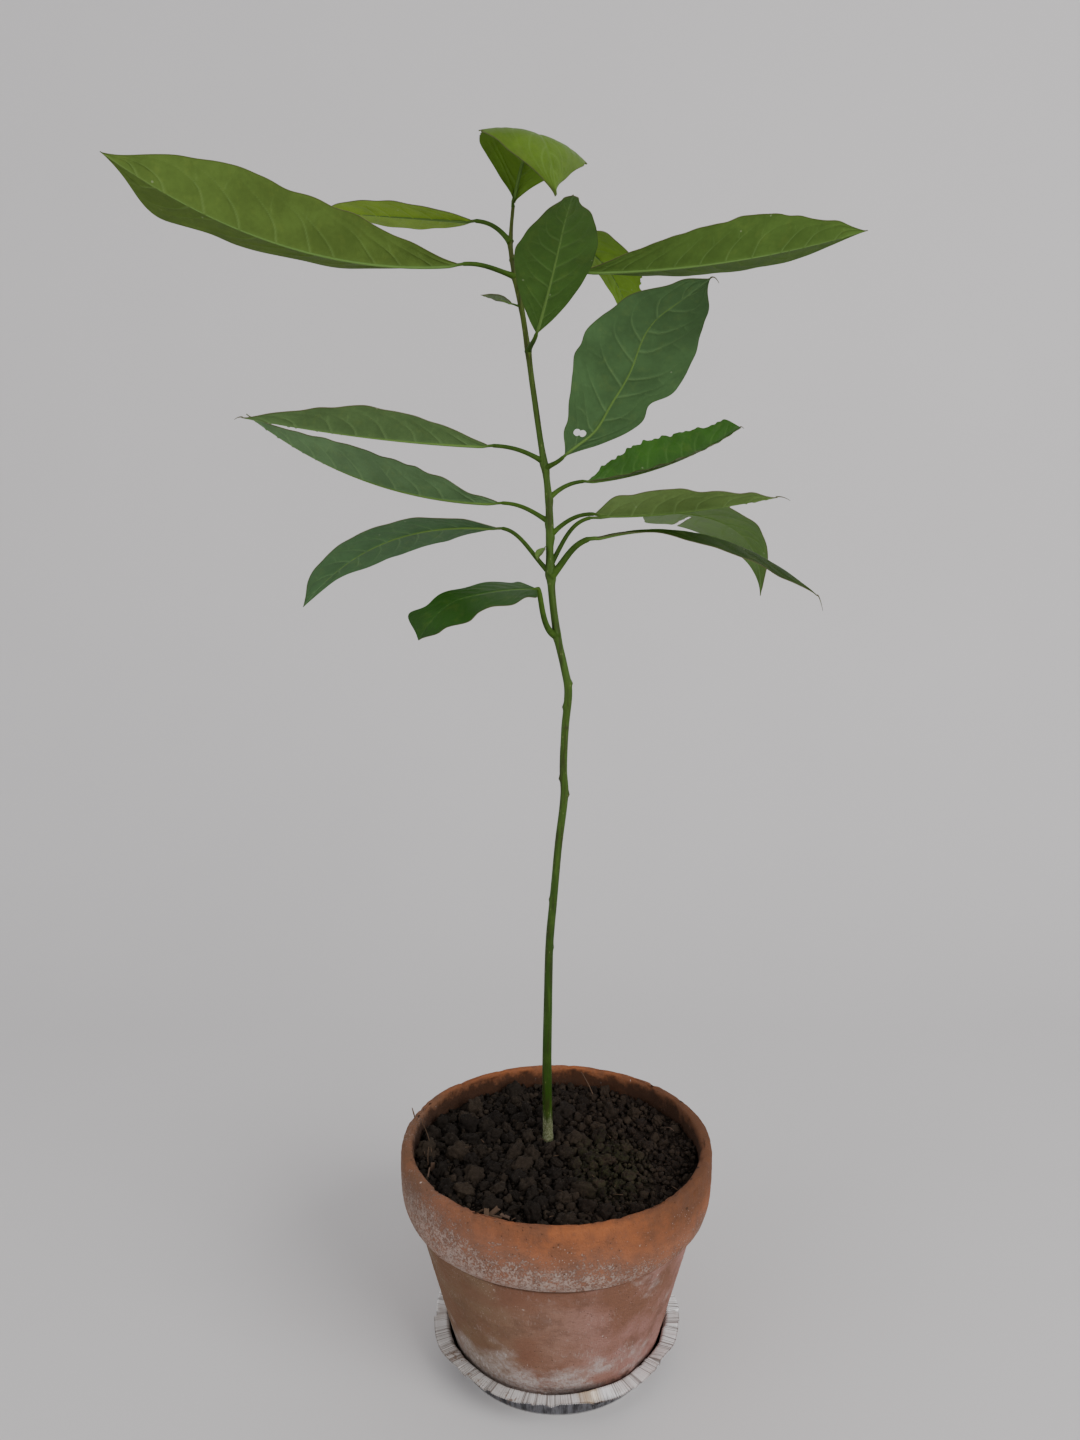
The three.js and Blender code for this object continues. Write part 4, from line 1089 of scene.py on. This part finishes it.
class PLANT_OT_soil(bpy.types.Operator):
    """Fill the pot with soil: its surface, lumps, crumbs and dry bits"""

    bl_idname = "plant.soil"
    bl_label = "Soil"

    def execute(self, context):
        settings = context.scene.soil
        dice = np.random.default_rng(7)
        self.make_surface(settings)
        material = soil_material(settings, "soil", 300.0)

        def lumps(name, places, detail, kinds, first_seed, rise):
            shapes = [lump_shape(detail, number + first_seed) for number in range(kinds)]
            make_lumps(dice, places, name, shapes, material, rise)

        taken = []
        big = spaced_places(dice, settings.big_lumps, (4.0, 7.6), 1.0, 30, 0.78, taken)
        middle = spaced_places(dice, settings.lumps, (1.6, 4.2), 0.5, 25, 0.74, taken)
        lumps("soil_large_lumps", big, 4, 24, 0, 0.30)
        lumps("soil_lumps", middle, 3, 40, 30, 0.25)
        lumps("soil_crumbs", loose_places(dice, settings.crumbs, 0.7, 1.3), 2, 24, 80, 0.9)
        lumps("soil_dust", loose_places(dice, settings.dust, 0.3, 0.55), 1, 12, 120, 1.6)
        self.make_dry_bits(settings, dice)
        return {"FINISHED"}

    def make_surface(self, settings):
        bottom = POT_BASE + POT_FLOOR + SOIL_GAP
        inner = body_radius(bottom + 6) - POT_WALL - SOIL_GAP
        shoulder = body_radius(POT_GROOVE_HEIGHT) - POT_WALL - SOIL_GAP
        profile = [(0, bottom), (inner - 6, bottom), (inner, bottom + 6),
                   (shoulder, POT_GROOVE_HEIGHT), (POT_MOUTH_RADIUS - 2, POT_GROOVE_HEIGHT + 18),
                   (SOIL_RADIUS + 0.4, SOIL_HEIGHT)]
        top = refined([(SOIL_RADIUS, SOIL_HEIGHT), (0, SOIL_HEIGHT)], 1.5)

        def reshape(radius, turns, height):
            spots = round_places(turns, radius, 0.0)
            cells = [noise.voronoi(spot)[0][0] for spot in (spots / 7).reshape(-1, 3).tolist()]
            lumps = 1.5 * (0.6 - np.reshape(cells, radius.shape)) + rough(spots, 3) * 0.8
            surface = soil_height(spots[..., 0], spots[..., 1]) + lumps - 1.6
            return radius, np.where(height < SOIL_HEIGHT - 1e-3, height, surface)

        bm = turned_bmesh(profile + top, SOIL_SEGMENTS, reshape)
        tones = {"tone": np.full(len(bm.verts), 0.2)}
        material = soil_material(settings, "soil_bed", 180.0)
        finish_piece(bm, "soil_bed", [material], ["soil"], tones)

    def make_dry_bits(self, settings, dice):
        material, nodes = new_material("straw")
        grain = nodes.noise(nodes.stretched(nodes.place(), 1.0, 1.0, 0.3), 1600.0, 3.0, 0.6)
        pale = (nodes.value("tone") * 0.7 + grain * 0.4).slope(0.2, 0.95)
        colour = nodes.mix(pale, display(88, 66, 46), settings.straw)
        finish_material(nodes, colour, 0.8, height=grain)

        # Dry bits that show: their three points, radius and tone
        lines = [
            ([(-97, 20, 147), (-100.5, 24, 156), (-103, 27, 163)], 0.75, 0.25),
            ([(-92, 10, 147), (-93, 4, 149.5), (-90.5, -8, 148)], 0.45, 0.55),
            ([(29, 74, 148), (26, 80, 154), (20.5, 88, 159.5)], 0.45, 0.35),
            ([(-86, -6, 148), (-89, 6, 156), (-96, 16, 160)], 0.25, 0.0),
            ([(-87, -20, 147), (-89, -8, 151), (-88, 6, 150)], 0.25, 0.0),
            ([(2, -84, 147.6), (5, -87, 149.4), (9, -90, 148.4)], 0.7, 1.0),
            ([(-71, -9, 150.6), (-65, -7, 152.4), (-59, -5, 151.6)], 0.22, 0.5),
            ([(79, 24, 149.6), (82, 22, 151), (84, 19, 149.6)], 0.3, 0.8),
        ]
        for _ in range(settings.straws):
            x, y = random_spot(dice, STRAW_REACH)
            turn, size = dice.uniform(0, math.pi), dice.uniform(1.5, 4)
            step = np.array([math.cos(turn), math.sin(turn), dice.uniform(-0.25, 0.4)]) * size
            middle = np.array([x, y, soil_height(x, y) + dice.uniform(1.2, 3.0)])
            bend = np.array([0, 0, dice.uniform(0, 0.3) * size])
            lines.append(([middle - step, middle + bend, middle + step],
                          dice.uniform(0.15, 0.3), dice.uniform(0, 0.35)))
        bm = bmesh.new()
        tones = []
        for points, radius, tone in lines:
            shares = np.linspace(0, 1, 9)
            line = bent_line(shares, *(np.array(point, float) for point in points))
            before = len(bm.verts)
            add_tube(bm, line, radius * (1 - 0.5 * shares ** 3), 6, edge_order=1)
            tones += [tone] * (len(bm.verts) - before)
        # Flakes of dry leaf near the rim: their places
        flakes = [
            (-50, -72), (-45, -75), (-41, -72), (-38, -77), (-33, -76), (-86, -28), (-84, -22),
        ]
        for number, (x, y) in enumerate(flakes):
            before = len(bm.verts)
            made = bmesh.ops.create_cube(bm, size=1.0)["verts"]
            turn = turn_matrix(dice)
            size = np.array([dice.uniform(6, 9), dice.uniform(2.4, 4.2), dice.uniform(0.6, 1.2)])
            for vert in made:
                co = turn @ (np.array(vert.co) * size * dice.uniform(0.75, 1.15, 3))
                vert.co = Vector(co + np.array([x, y, soil_height(x, y) + 2.2 + 0.3 * number % 1]))
            tones += [0.15 + 0.45 * dice.uniform()] * (len(bm.verts) - before)
        bmesh.ops.recalc_face_normals(bm, faces=bm.faces)
        finish_piece(bm, "soil_dry_bits", [material], values={"tone": tones})


# ------------------------------------------------------------------------------ stem
def read_rows(heights, column):
    """One column of the stem's rows, read smoothly at some heights."""
    known = STEM_ROWS[:, 0]
    values = STEM_ROWS[:, column]
    low = np.clip(np.searchsorted(known, heights, side="left") - 1, 0, len(known) - 2)
    before, after = np.maximum(np.arange(len(known)) - 1, 0), np.arange(len(known)) + 1
    after = np.minimum(after, len(known) - 1)
    slope = (values[after] - values[before]) / (known[after] - known[before])
    span = known[low + 1] - known[low]
    t = np.clip((heights - known[low]) / span, 0, 1)
    rise = t * t * (3 - 2 * t)
    return (
        values[low] * (1 - rise) + values[low + 1] * rise
        + slope[low] * span * t * (1 - t) ** 2 - slope[low + 1] * span * t * t * (1 - t)
    )


def stem_point(height):
    return np.array([
        float(read_rows(height, 1)), float(read_rows(height, 2)), float(height),
    ])


def stem_material(settings):
    material, nodes = new_material("green_bark")
    place = nodes.place()
    z = nodes.axes(place)[2]
    tone, relief = nodes.tissue(place, 2200.0)
    streaks = nodes.noise(nodes.stretched(place, 1.0, 1.0, 0.06), 420.0, 3.0, 0.6)
    pale = tone.slope(0.45, 0.7).most(streaks.slope(0.46, 0.34))
    lenticels = nodes.cells(nodes.stretched(place, 1.0, 1.0, 0.45), 330.0).slope(0.16, 0.08)
    patchy = nodes.noise(place, 900.0, 4.0, 0.7).slope(0.38, 0.62)
    corky = (z + (streaks - 0.5) * 0.03).slope(0.168, 0.156)

    colour = nodes.mix(z.slope(0.28, 0.44), display(46, 72, 20), settings.green)
    colour = colour.tinted(z.slope(0.60, 0.74), 74, 84, 28)
    colour = colour.covered(streaks.slope(0.48, 0.62) * 0.7, settings.shade)
    colour = colour.tinted(pale * 0.3, 84, 112, 42).tinted(lenticels * 0.35, 140, 138, 92)
    cork = nodes.mix(patchy, display(92, 96, 62), settings.cork)
    colour = colour.covered(corky * 0.85, cork).tinted(nodes.value("scar") * 0.85, 52, 44, 26)
    dull = streaks.slope(0.3, 0.7, 0.32, 0.44) + corky * 0.4
    finish_material(nodes, colour, dull, 0.14, height=streaks + relief * 0.4, depth=0.00018)
    return material


class PLANT_OT_stem(bpy.types.Operator):
    """Make the stem, with its scars, swollen joints and corky foot"""

    bl_idname = "plant.stem"
    bl_label = "Stem"

    def execute(self, context):
        lowest, highest = STEM_ROWS[0, 0], STEM_ROWS[-1, 0]
        heights = np.arange(lowest - 3, highest + 0.01, 0.8)
        turns = np.linspace(0, 360, STEM_SIDES + 1)[None, :]
        z = heights[:, None]
        diameters = read_rows(np.maximum(heights, lowest), 3)[:, None]
        radius = diameters * STEM_FULLNESS + 0 * turns
        scar = np.zeros_like(radius)

        def facing(turn, sharpness):
            return np.maximum(0, np.cos(np.radians(turns - turn))) ** sharpness

        for leaf in LEAVES.values():
            if leaf["climb"] < 70:
                share = min(1.0, leaf["stalk"] / 20)
                swell = bell((z - leaf["foot"] + 1.0) / 3.2) * facing(leaf["turn"], 2)
                radius = radius + 0.7 * share * swell
                radius = radius + 0.25 * share * bell((z - leaf["foot"] - 1) / 6)
        for height, turn in STEM_SCARS:
            size = 1.0 if height > 380 else 0.6
            radius = radius + 1.05 * size * bell((z - height) / 1.7) * facing(turn, 3)
            mark = bell((z - height - 0.5) / 1.1) * facing(turn, 9)
            scar = np.maximum(scar, mark * size)
            radius = radius - 0.35 * size * bell((z - height - 0.6) / 0.7) * facing(turn, 12)
        corky = 1 - smooth(153, 163, z)
        for row, height in enumerate(heights):
            for column in range(STEM_SIDES):
                angle = math.radians(turns[0, column])
                spot = Vector((math.cos(angle), math.sin(angle), height * 0.05)) * 1.6
                streak = noise.noise(spot) * 0.10
                flake = noise.noise(Vector((angle * 2.2, height * 0.9, 0))) * 0.45 * corky[row, 0]
                radius[row, column] += streak + flake
        radius[:, -1] = radius[:, 0]
        centre = np.stack([read_rows(heights, 1), read_rows(heights, 2), heights], axis=1)
        points = centre[:, None, :] + round_places(np.radians(turns), radius, 0)
        bm = bmesh.new()
        net = add_net(bm, points, wrap=True)
        cap_ends(bm, net)
        bm.verts.index_update()
        values = np.zeros(len(bm.verts))
        for (row, column), vert in net.items():
            values[vert.index] = scar[row, column % STEM_SIDES]
        material = stem_material(context.scene.stem)
        finish_piece(bm, "trunk", [material], ["stem"], {"scar": values})
        return {"FINISHED"}


# ------------------------------------------------------------------------------ leaves
def leaf_lines(leaf):
    """The lines that a leaf follows, in millimetres: samplers for its midrib by share of length
    and for its stalk, with the leaf's left and up.

    foot is the height on the stem where the stalk starts, stalk its length to the blade's base,
    which lies turn degrees from +X and climb degrees above level of it. The blade's tip lies
    length away, along head and lift. arch and bow bend the midrib up and to the left, most at
    the share crest, and curl bends its end down.
    """
    root = stem_point(leaf["foot"])
    base = root + leaf["stalk"] * heading(leaf["turn"], leaf["climb"])
    reach = heading(leaf["head"], leaf["lift"])
    left = heading(leaf["head"] + 90, 0)
    up = np.cross(reach, left)
    length = leaf["length"]
    crown = (
        base + reach * length * leaf["crest"] + up * length * 2 * leaf["arch"]
        + left * length * 2 * leaf["bow"]
    )
    tip = base + reach * length

    fine = np.linspace(0, 1, 400)
    steps = np.linalg.norm(np.diff(bent_line(fine, base, crown, tip), axis=0), axis=1)
    run = np.concatenate([[0], np.cumsum(steps)])

    def midrib(shares):
        curled = np.maximum(0, shares - CURL_START) / (1 - CURL_START)
        drop = length * leaf["curl"] * curled ** 2
        even = np.interp(shares, run / run[-1], fine)
        return bent_line(even, base, crown, tip) - up * drop[:, None]

    start = unit(crown - base)
    pull = root + heading(leaf["turn"], leaf["rise"]) * leaf["stalk"] * ROOT_PULL
    neck = base - start * leaf["stalk"] * leaf["neck"]

    def stalk(shares):
        t = np.asarray(shares)[:, None]
        return ((1 - t) ** 3 * root + 3 * t * (1 - t) ** 2 * pull
                + 3 * t * t * (1 - t) * neck + t ** 3 * base)

    return midrib, stalk, left


def leaf_frames(line, left, roll):
    """The directions across and out of a leaf along a line, rolled by degrees about it."""
    ahead = unit(np.gradient(line, axis=0, edge_order=2))
    up = unit(np.cross(ahead, left))
    side = np.cross(up, ahead)
    roll = np.radians(roll)[:, None]
    return side * np.cos(roll) + up * np.sin(roll), up * np.cos(roll) - side * np.sin(roll)


def half_widths(leaf, shares, side):
    """Half the blade's width on one side, in millimetres, with its ripples and bumps."""
    skew = math.log(0.5) / math.log(leaf["belly"])
    sharpness = leaf["heel"] + (leaf["tip"] - leaf["heel"]) * shares
    bulge = np.maximum(0, np.sin(math.pi * shares ** skew)) ** sharpness
    half = leaf["width"] / 2 * bulge
    size, count = leaf["ripple"]
    phase = leaf["seed"] * 1.7 + side * 1.1
    ripple = np.sin(2 * math.pi * (count * shares + 0.12 * np.sin(9 * shares + phase)) + phase)
    ripple = ripple + 0.5 * np.sin(2 * math.pi * count * 1.7 * shares + 2 * phase)
    half = half + size * ripple * np.sin(math.pi * shares) ** 0.6 * 0.7
    for bump_side, place, spread, gain in leaf["bumps"]:
        if bump_side in (0, side):
            half = half * (1 + gain * bell((shares - place) / spread))
    return np.maximum(half, np.where(shares < 0.5, 0.9, 0.25) * min(1, leaf["width"] / 20))


def midrib_course(leaf, shares):
    """How far a midrib wanders to the left of a blade's middle, as a share of the half width."""
    course = 0 * shares
    for place, spread, size in leaf["course"]:
        course = course + size * bell((shares - place) / spread)
    return course * smooth(0, 0.06, shares) * smooth(1, 0.9, shares)


def vein_field(leaf, shares, across):
    """How strongly each point lies on a side vein, and how far it is from one in millimetres.
    across is 0 on the midrib and 1 or -1 at a margin."""
    dice = random.Random(leaf["seed"])
    count, length = leaf["veins"], leaf["length"]
    slant = leaf["width"] / 2 / length
    strength = np.zeros(np.broadcast(shares, across).shape)
    distance = np.full(strength.shape, 99.0)
    out = np.abs(across)
    for side in (1, -1):
        for number in range(-1, count + 1):
            start = (number + 0.75 + 0.22 * side + dice.uniform(-0.16, 0.16)) / (count + 1)
            arc = dice.uniform(0.2, 0.5)
            fork = dice.uniform(0.45, 0.65)
            sway = dice.uniform(0, 6.3)
            ways = [(0.0, arc, 0.95, 1.0), (fork, arc * 0.25, -0.1, 0.6)]
            for begin, straight, curve, weight in ways:
                origin = start + slant * (arc * begin + 0.55 * begin ** 3)
                run = np.maximum(out - begin, 0)
                line = origin + slant * (straight * run + curve * (out ** 3 - begin ** 3))
                line = line + slant * 0.07 * out * np.sin(7 * out + sway)
                gap = np.abs(shares - line) * length * 0.8
                here = (across * side >= 0) & (out >= begin) & (shares > 0.02)
                width = 0.52 - 0.22 * out
                mask = weight * bell(gap / width) * (1 - smooth(0.35, 0.95, out))
                mask = mask * smooth(1.0, 0.9, shares)
                strength = np.where(here, np.maximum(strength, mask), strength)
                if begin == 0.0:
                    distance = np.where(here, np.minimum(distance, gap), distance)
    return strength, distance


def blade_nets(leaf, settings):
    """The points of a blade's upper face and underside, with the values that its material reads."""
    midrib, _, left = leaf_lines(leaf)
    cell = settings.cell / MM * (1 if leaf["length"] > 40 else 0.4)
    rows = max(14, round(leaf["length"] / cell))
    columns = 2 * max(5, round(leaf["width"] / cell / 2))
    shares = np.linspace(0, 1, rows + 1)
    across = np.linspace(1, -1, columns + 1)[None, :]
    line = midrib(shares)
    side, up = leaf_frames(line, left, leaf["roll"] + leaf["twist"] * shares)
    s = shares[:, None]
    half = np.where(across >= 0, half_widths(leaf, shares, 1)[:, None],
                    half_widths(leaf, shares, -1)[:, None])
    out = np.abs(across)
    fold = math.radians(leaf["fold"])
    course = midrib_course(leaf, s)
    from_rib = across - course
    veins, gap = vein_field(leaf, s, from_rib / (1 - np.sign(from_rib) * course))
    size, count = leaf["wave"]
    swing = count * s + leaf["seed"] * 0.37 + 0.35 * (across > 0)
    wave = size * out ** 2 * np.sin(2 * math.pi * swing) * np.sin(math.pi * s)
    puffed = (1 - bell(gap / 4.5)) * np.sin(math.pi * np.clip(out, 0, 1)) * 0.3
    puffed = puffed * min(1, leaf["width"] / 40)
    place, spread, drop = leaf["sag"]
    sag = drop * bell((s - place) / spread) * out ** 2
    lift = half * out * math.sin(fold) + wave + puffed - 0.12 * veins - sag
    lift = lift - 0.35 * bell(half * from_rib / 1.3)
    upper = line[:, None, :] + side[:, None, :] * (half * across * math.cos(fold))[..., None]
    upper = upper + up[:, None, :] * lift[..., None]
    thickness = settings.thickness / MM + settings.vein_height / MM * veins
    under = upper - up[:, None, :] * thickness[..., None]
    edge = bell(half * (1 - out) / 0.9)
    rib = bell(half * from_rib / (0.9 - 0.5 * s))
    return upper, under, {"vein": veins, "edge": edge, "rib": rib}


def cut_opening(bm, nets, points, opening):
    """Removes the cells of a blade along a row of round places that run into one another, and
    pulls the opening's edge smooth."""
    rows, columns = points.shape[0] - 1, points.shape[1] - 1
    stops = np.linspace(0, len(opening) - 1, 4 * len(opening) - 3)
    place, across, radius = (np.interp(stops, range(len(opening)), part) for part in zip(*opening))
    centres = points[np.rint(place * rows).astype(int),
                     np.rint((1 - across) / 2 * columns).astype(int)]
    away = np.linalg.norm(points[:, :, None] - centres, axis=3) / radius
    nearest, away = away.argmin(axis=2), away.min(axis=2)
    doomed = [tuple(at) for at in np.argwhere(away < 1)]
    for net in nets:
        near = {net[at]: nearest[at] for at in map(tuple, np.argwhere(away < 1.6)) if at in net}
        bmesh.ops.delete(bm, geom=[net.pop(at) for at in doomed if at in net], context="VERTS")
        for vert, index in near.items():
            if vert.is_valid and vert.is_boundary:
                centre = Vector(centres[index])
                step = vert.co - centre
                vert.co = centre + step * (radius[index] / max(step.length, 1e-6)) ** 0.85


def stalk_rings(leaf):
    return max(6, round(leaf["stalk"] / STALK_STEP))


def stalk_and_rib(leaf, settings):
    """The line and radii of the stalk and of the midrib that runs on from it."""
    midrib, stalk, left = leaf_lines(leaf)
    small = min(1.0, leaf["width"] / 24)
    rings = stalk_rings(leaf)
    along = stalk(np.linspace(0, 1, rings, endpoint=False))
    shares = np.linspace(0, 0.97, max(10, round(leaf["length"] / 3)))
    rib = midrib(shares)
    side, up = leaf_frames(rib, left, leaf["roll"] + leaf["twist"] * shares)
    course = midrib_course(leaf, shares)
    half = np.where(course > 0, half_widths(leaf, shares, 1), half_widths(leaf, shares, -1))
    fold = math.radians(leaf["fold"])
    rib = rib + side * (half * course * math.cos(fold))[:, None]
    rib = rib + up * (half * np.abs(course) * math.sin(fold))[:, None]
    radii = (0.85 * (1 - shares) ** 1.2 + 0.12) * small * leaf["thick"]
    sunk = radii * 0.75 + settings.thickness / MM
    rib = rib - up * (sunk * smooth(0, 0.05, shares))[:, None]
    line = np.concatenate([along, rib])
    from_stem = np.linalg.norm(along - along[0], axis=1)
    swollen = 0.9 * min(1, leaf["stalk"] / 15) * np.exp(-from_stem / 3)
    short = 0.4 + 0.6 * min(1, leaf["stalk"] / 10)
    stalk_radii = short * (1.3 + 0.35 * np.linspace(1, 0, rings) + swollen) * small * leaf["thick"]
    return line, np.concatenate([stalk_radii, radii])


def hook_line(leaf):
    """The line of the thin dry tip that runs on from a blade's end and bends down."""
    midrib, _, _ = leaf_lines(leaf)
    before, tip = midrib(np.array([0.985, 1.0]))
    size, drop = leaf["hook"]
    share = np.linspace(0, 1, 8)[:, None]
    line = tip + unit(tip - before) * size * (share - 0.12) - np.array([0, 0, drop]) * share ** 2
    return line, 0.5 - 0.36 * share[:, 0]


def leaf_face_material(name, leaf, settings, underside):
    material, nodes = new_material(name)
    place = nodes.place()
    tone, relief = nodes.tissue(place, 1300.0)
    base = np.array(display(*leaf["under" if underside else "upper"]))
    shades = base * 0.86, base * 1.12, np.array(settings.vein) * 0.6 + base * 0.9
    deep, pale, pale_vein = ((*shade[:3], 1.0) for shade in shades)
    ribs = nodes.value("rib") * (0.35 if underside else 0.2)
    veins = (nodes.value("vein") * leaf["vein"]).most(ribs)
    blotches = nodes.noise(place, 140.0, 4.0, 0.65).slope(0.52, 0.68)
    edge = nodes.value("edge").slope(0.45, 0.9)
    flecks = nodes.flecks(place, 0.12, 700.0, 90.0)
    dots = nodes.cells(place, 60.0).slope(0.05, 0.03)

    colour = nodes.mix(tone.slope(0.32, 0.68), deep, pale).tinted(blotches * 0.05, 150, 160, 70)
    colour = colour.covered(veins, pale_vein).covered(edge * 0.3, settings.margin)
    colour = colour.tinted(flecks * 0.18, 160, 156, 110).tinted(dots * 0.25, 188, 190, 160)
    least, gloss = (0.52, leaf["gloss"] * 0.6) if underside else (0.40, leaf["gloss"])
    dull = tone.slope(0.3, 0.7, least, least + 0.10)
    finish_material(nodes, colour, dull, gloss, height=relief + veins * 0.6, depth=0.00012)
    return material


def stalk_material(settings):
    material, nodes = new_material("leaf_stalk")
    tone, relief = nodes.tissue(nodes.place(), 2200.0)
    colour = nodes.mix(tone.slope(0.35, 0.65), display(52, 76, 26), settings.stalk)
    colour = colour.tinted(nodes.value("along").slope(0.95, 1.15, 0.0, 0.75), 110, 142, 74)
    finish_material(nodes, colour, 0.45, 0.07, height=relief, depth=0.00012)
    return material


class PLANT_OT_leaves(bpy.types.Operator):
    """Make every leaf: its blade, with veins and brown margin, its midrib and its stalk"""

    bl_idname = "plant.leaves"
    bl_label = "Leaves"

    def execute(self, context):
        settings = context.scene.leaf
        stalks = stalk_material(settings)
        margin, nodes = new_material("leaf_margin")
        grain = nodes.noise(nodes.place(), 900.0)
        finish_material(nodes, nodes.mix(grain, settings.margin, display(84, 78, 40)))
        for name, given in LEAVES.items():
            self.make_leaf(name, {**LEAF_DEFAULTS, **given}, settings, stalks, margin)
        return {"FINISHED"}

    def make_leaf(self, name, leaf, settings, stalks, margin):
        upper_points, under_points, values = blade_nets(leaf, settings)
        bm = bmesh.new()
        layers = {key: bm.verts.layers.float.new(key) for key in [*values, "along"]}
        upper = add_net(bm, upper_points, 0)
        under = add_net(bm, under_points, 1)
        for net in (upper, under):
            for place, vert in net.items():
                for key, numbers in values.items():
                    vert[layers[key]] = float(numbers[place])
        for opening in leaf["openings"]:
            cut_opening(bm, (upper, under), upper_points, opening)
        below = {vert: under[place] for place, vert in upper.items()}
        rim = [edge for edge in bm.edges if edge.is_boundary and edge.verts[0] in below
               and edge.verts[1] in below]
        for edge in rim:
            a, b = edge.verts
            edge.smooth = False
            face = bm.faces.new((b, a, below[a], below[b]))
            face.material_index = 2
        for edge in bm.edges:
            if {face.material_index for face in edge.link_faces} == {1, 2}:
                edge.smooth = False

        if leaf["hook"]:
            add_tube(bm, *hook_line(leaf), 6, 2)
        net = add_tube(bm, *stalk_and_rib(leaf, settings), STALK_SIDES, 3)
        for (row, _), vert in net.items():
            vert[layers["along"]] = row / stalk_rings(leaf)
        materials = [
            leaf_face_material(name + "_upper", leaf, settings, False),
            leaf_face_material(name + "_under", leaf, settings, True),
            margin, stalks,
        ]
        finish_piece(bm, name + "_blade", materials, [name])


# ------------------------------------------------------------------------------ stage
class PLANT_OT_camera(bpy.types.Operator):
    """Place the camera in front of the plant, level with its lower leaves, and tilt it down"""

    bl_idname = "plant.camera"
    bl_label = "Camera"

    def execute(self, context):
        camera = bpy.data.cameras.new("view")
        camera.lens = CAMERA_LENS
        camera.sensor_width = CAMERA_SENSOR
        camera.clip_start = 0.01
        viewer = bpy.data.objects.new("view", camera)
        viewer.location = CAMERA_PLACE
        viewer.rotation_euler = (math.radians(CAMERA_TILT), 0, 0)
        context.scene.collection.objects.link(viewer)
        context.scene.camera = viewer
        return {"FINISHED"}


class PLANT_OT_stage(bpy.types.Operator):
    """Set a pale floor that sweeps up behind the plant, and soft light"""

    bl_idname = "plant.stage"
    bl_label = "Stage"

    def execute(self, context):
        settings = context.scene.stage
        front, back, wide, high, bend = -3.0, 1.1, 6.0, 4.0, 0.6
        steps = 12
        bm = bmesh.new()
        line = [bm.verts.new((-wide, front, 0))]
        for step in range(steps + 1):
            turn = math.radians(90 * step / steps)
            line.append(bm.verts.new((-wide, back - bend + bend * math.sin(turn),
                                      bend - bend * math.cos(turn))))
        line.append(bm.verts.new((-wide, back, high)))
        edges = [bm.edges.new(pair) for pair in zip(line, line[1:])]
        made = bmesh.ops.extrude_edge_only(bm, edges=edges)["geom"]
        moved = [part for part in made if isinstance(part, bmesh.types.BMVert)]
        bmesh.ops.translate(bm, vec=(2 * wide, 0, 0), verts=moved)
        for face in bm.faces:
            face.smooth = True
        mesh = bpy.data.meshes.new("floor")
        bm.to_mesh(mesh)
        bm.free()
        material, nodes = new_material("floor")
        tone = nodes.noise(nodes.place(), 3.0)
        finish_material(nodes, nodes.mix(tone, settings.floor, display(219, 216, 215)), 0.8)
        mesh.materials.append(material)
        floor = bpy.data.objects.new("floor", mesh)
        context.scene.collection.objects.link(floor)

        self.add_light("window", (1.5, -1.5, 1.5), (0, 0, 0.42), 1.5, settings.window)
        self.add_light("left_fill", (-1.6, -1.2, 0.9), (0, 0, 0.4), 1.6, settings.window * 0.28)
        world = bpy.data.worlds.new("room")
        world.use_nodes = True
        backdrop = world.node_tree.nodes["Background"]
        backdrop.inputs["Color"].default_value = display(246, 247, 252)
        backdrop.inputs["Strength"].default_value = settings.fill
        context.scene.world = world
        return {"FINISHED"}

    def add_light(self, name, place, target, size, power):
        light = bpy.data.lights.new(name, "AREA")
        light.size = size
        light.energy = power
        lamp = bpy.data.objects.new(name, light)
        lamp.location = place
        lamp.rotation_euler = (Vector(target) - Vector(place)).to_track_quat("-Z", "Y").to_euler()
        bpy.context.scene.collection.objects.link(lamp)


class PLANT_PT_panel(bpy.types.Panel):
    """Lists the plant's settings and what makes each piece"""

    bl_idname = "PLANT_PT_panel"
    bl_label = "Avocado tree"
    bl_space_type = "VIEW_3D"
    bl_region_type = "UI"
    bl_category = "Avocado"

    def draw(self, context):
        for name in SETTINGS:
            box = self.layout.box()
            group = getattr(context.scene, name)
            for key in group.bl_rna.properties.keys():
                if key not in ("rna_type", "name"):
                    box.prop(group, key)
        for operator in OPERATORS:
            self.layout.operator(operator.bl_idname)


SETTINGS = {
    "foil_pan": FoilPanSettings,
    "clay_pot": ClayPotSettings,
    "soil": SoilSettings,
    "stem": StemSettings,
    "leaf": LeafSettings,
    "stage": StageSettings,
}
OPERATORS = (
    PLANT_OT_camera, PLANT_OT_foil_pan, PLANT_OT_clay_pot, PLANT_OT_soil, PLANT_OT_stem,
    PLANT_OT_leaves, PLANT_OT_stage,
)


def register():
    for made in (*SETTINGS.values(), *OPERATORS, PLANT_PT_panel):
        bpy.utils.register_class(made)
    for name, group in SETTINGS.items():
        setattr(bpy.types.Scene, name, bpy.props.PointerProperty(type=group))


def unregister():
    for name in SETTINGS:
        delattr(bpy.types.Scene, name)
    for made in reversed((*SETTINGS.values(), *OPERATORS, PLANT_PT_panel)):
        bpy.utils.unregister_class(made)


def main():
    register()
    build_flecks_group()
    build_tissue_group()
    bpy.ops.plant.camera()
    bpy.ops.plant.foil_pan()
    bpy.ops.plant.clay_pot()
    bpy.ops.plant.soil()
    bpy.ops.plant.stem()
    bpy.ops.plant.leaves()
    bpy.ops.plant.stage()


if __name__ == "__main__":
    main()
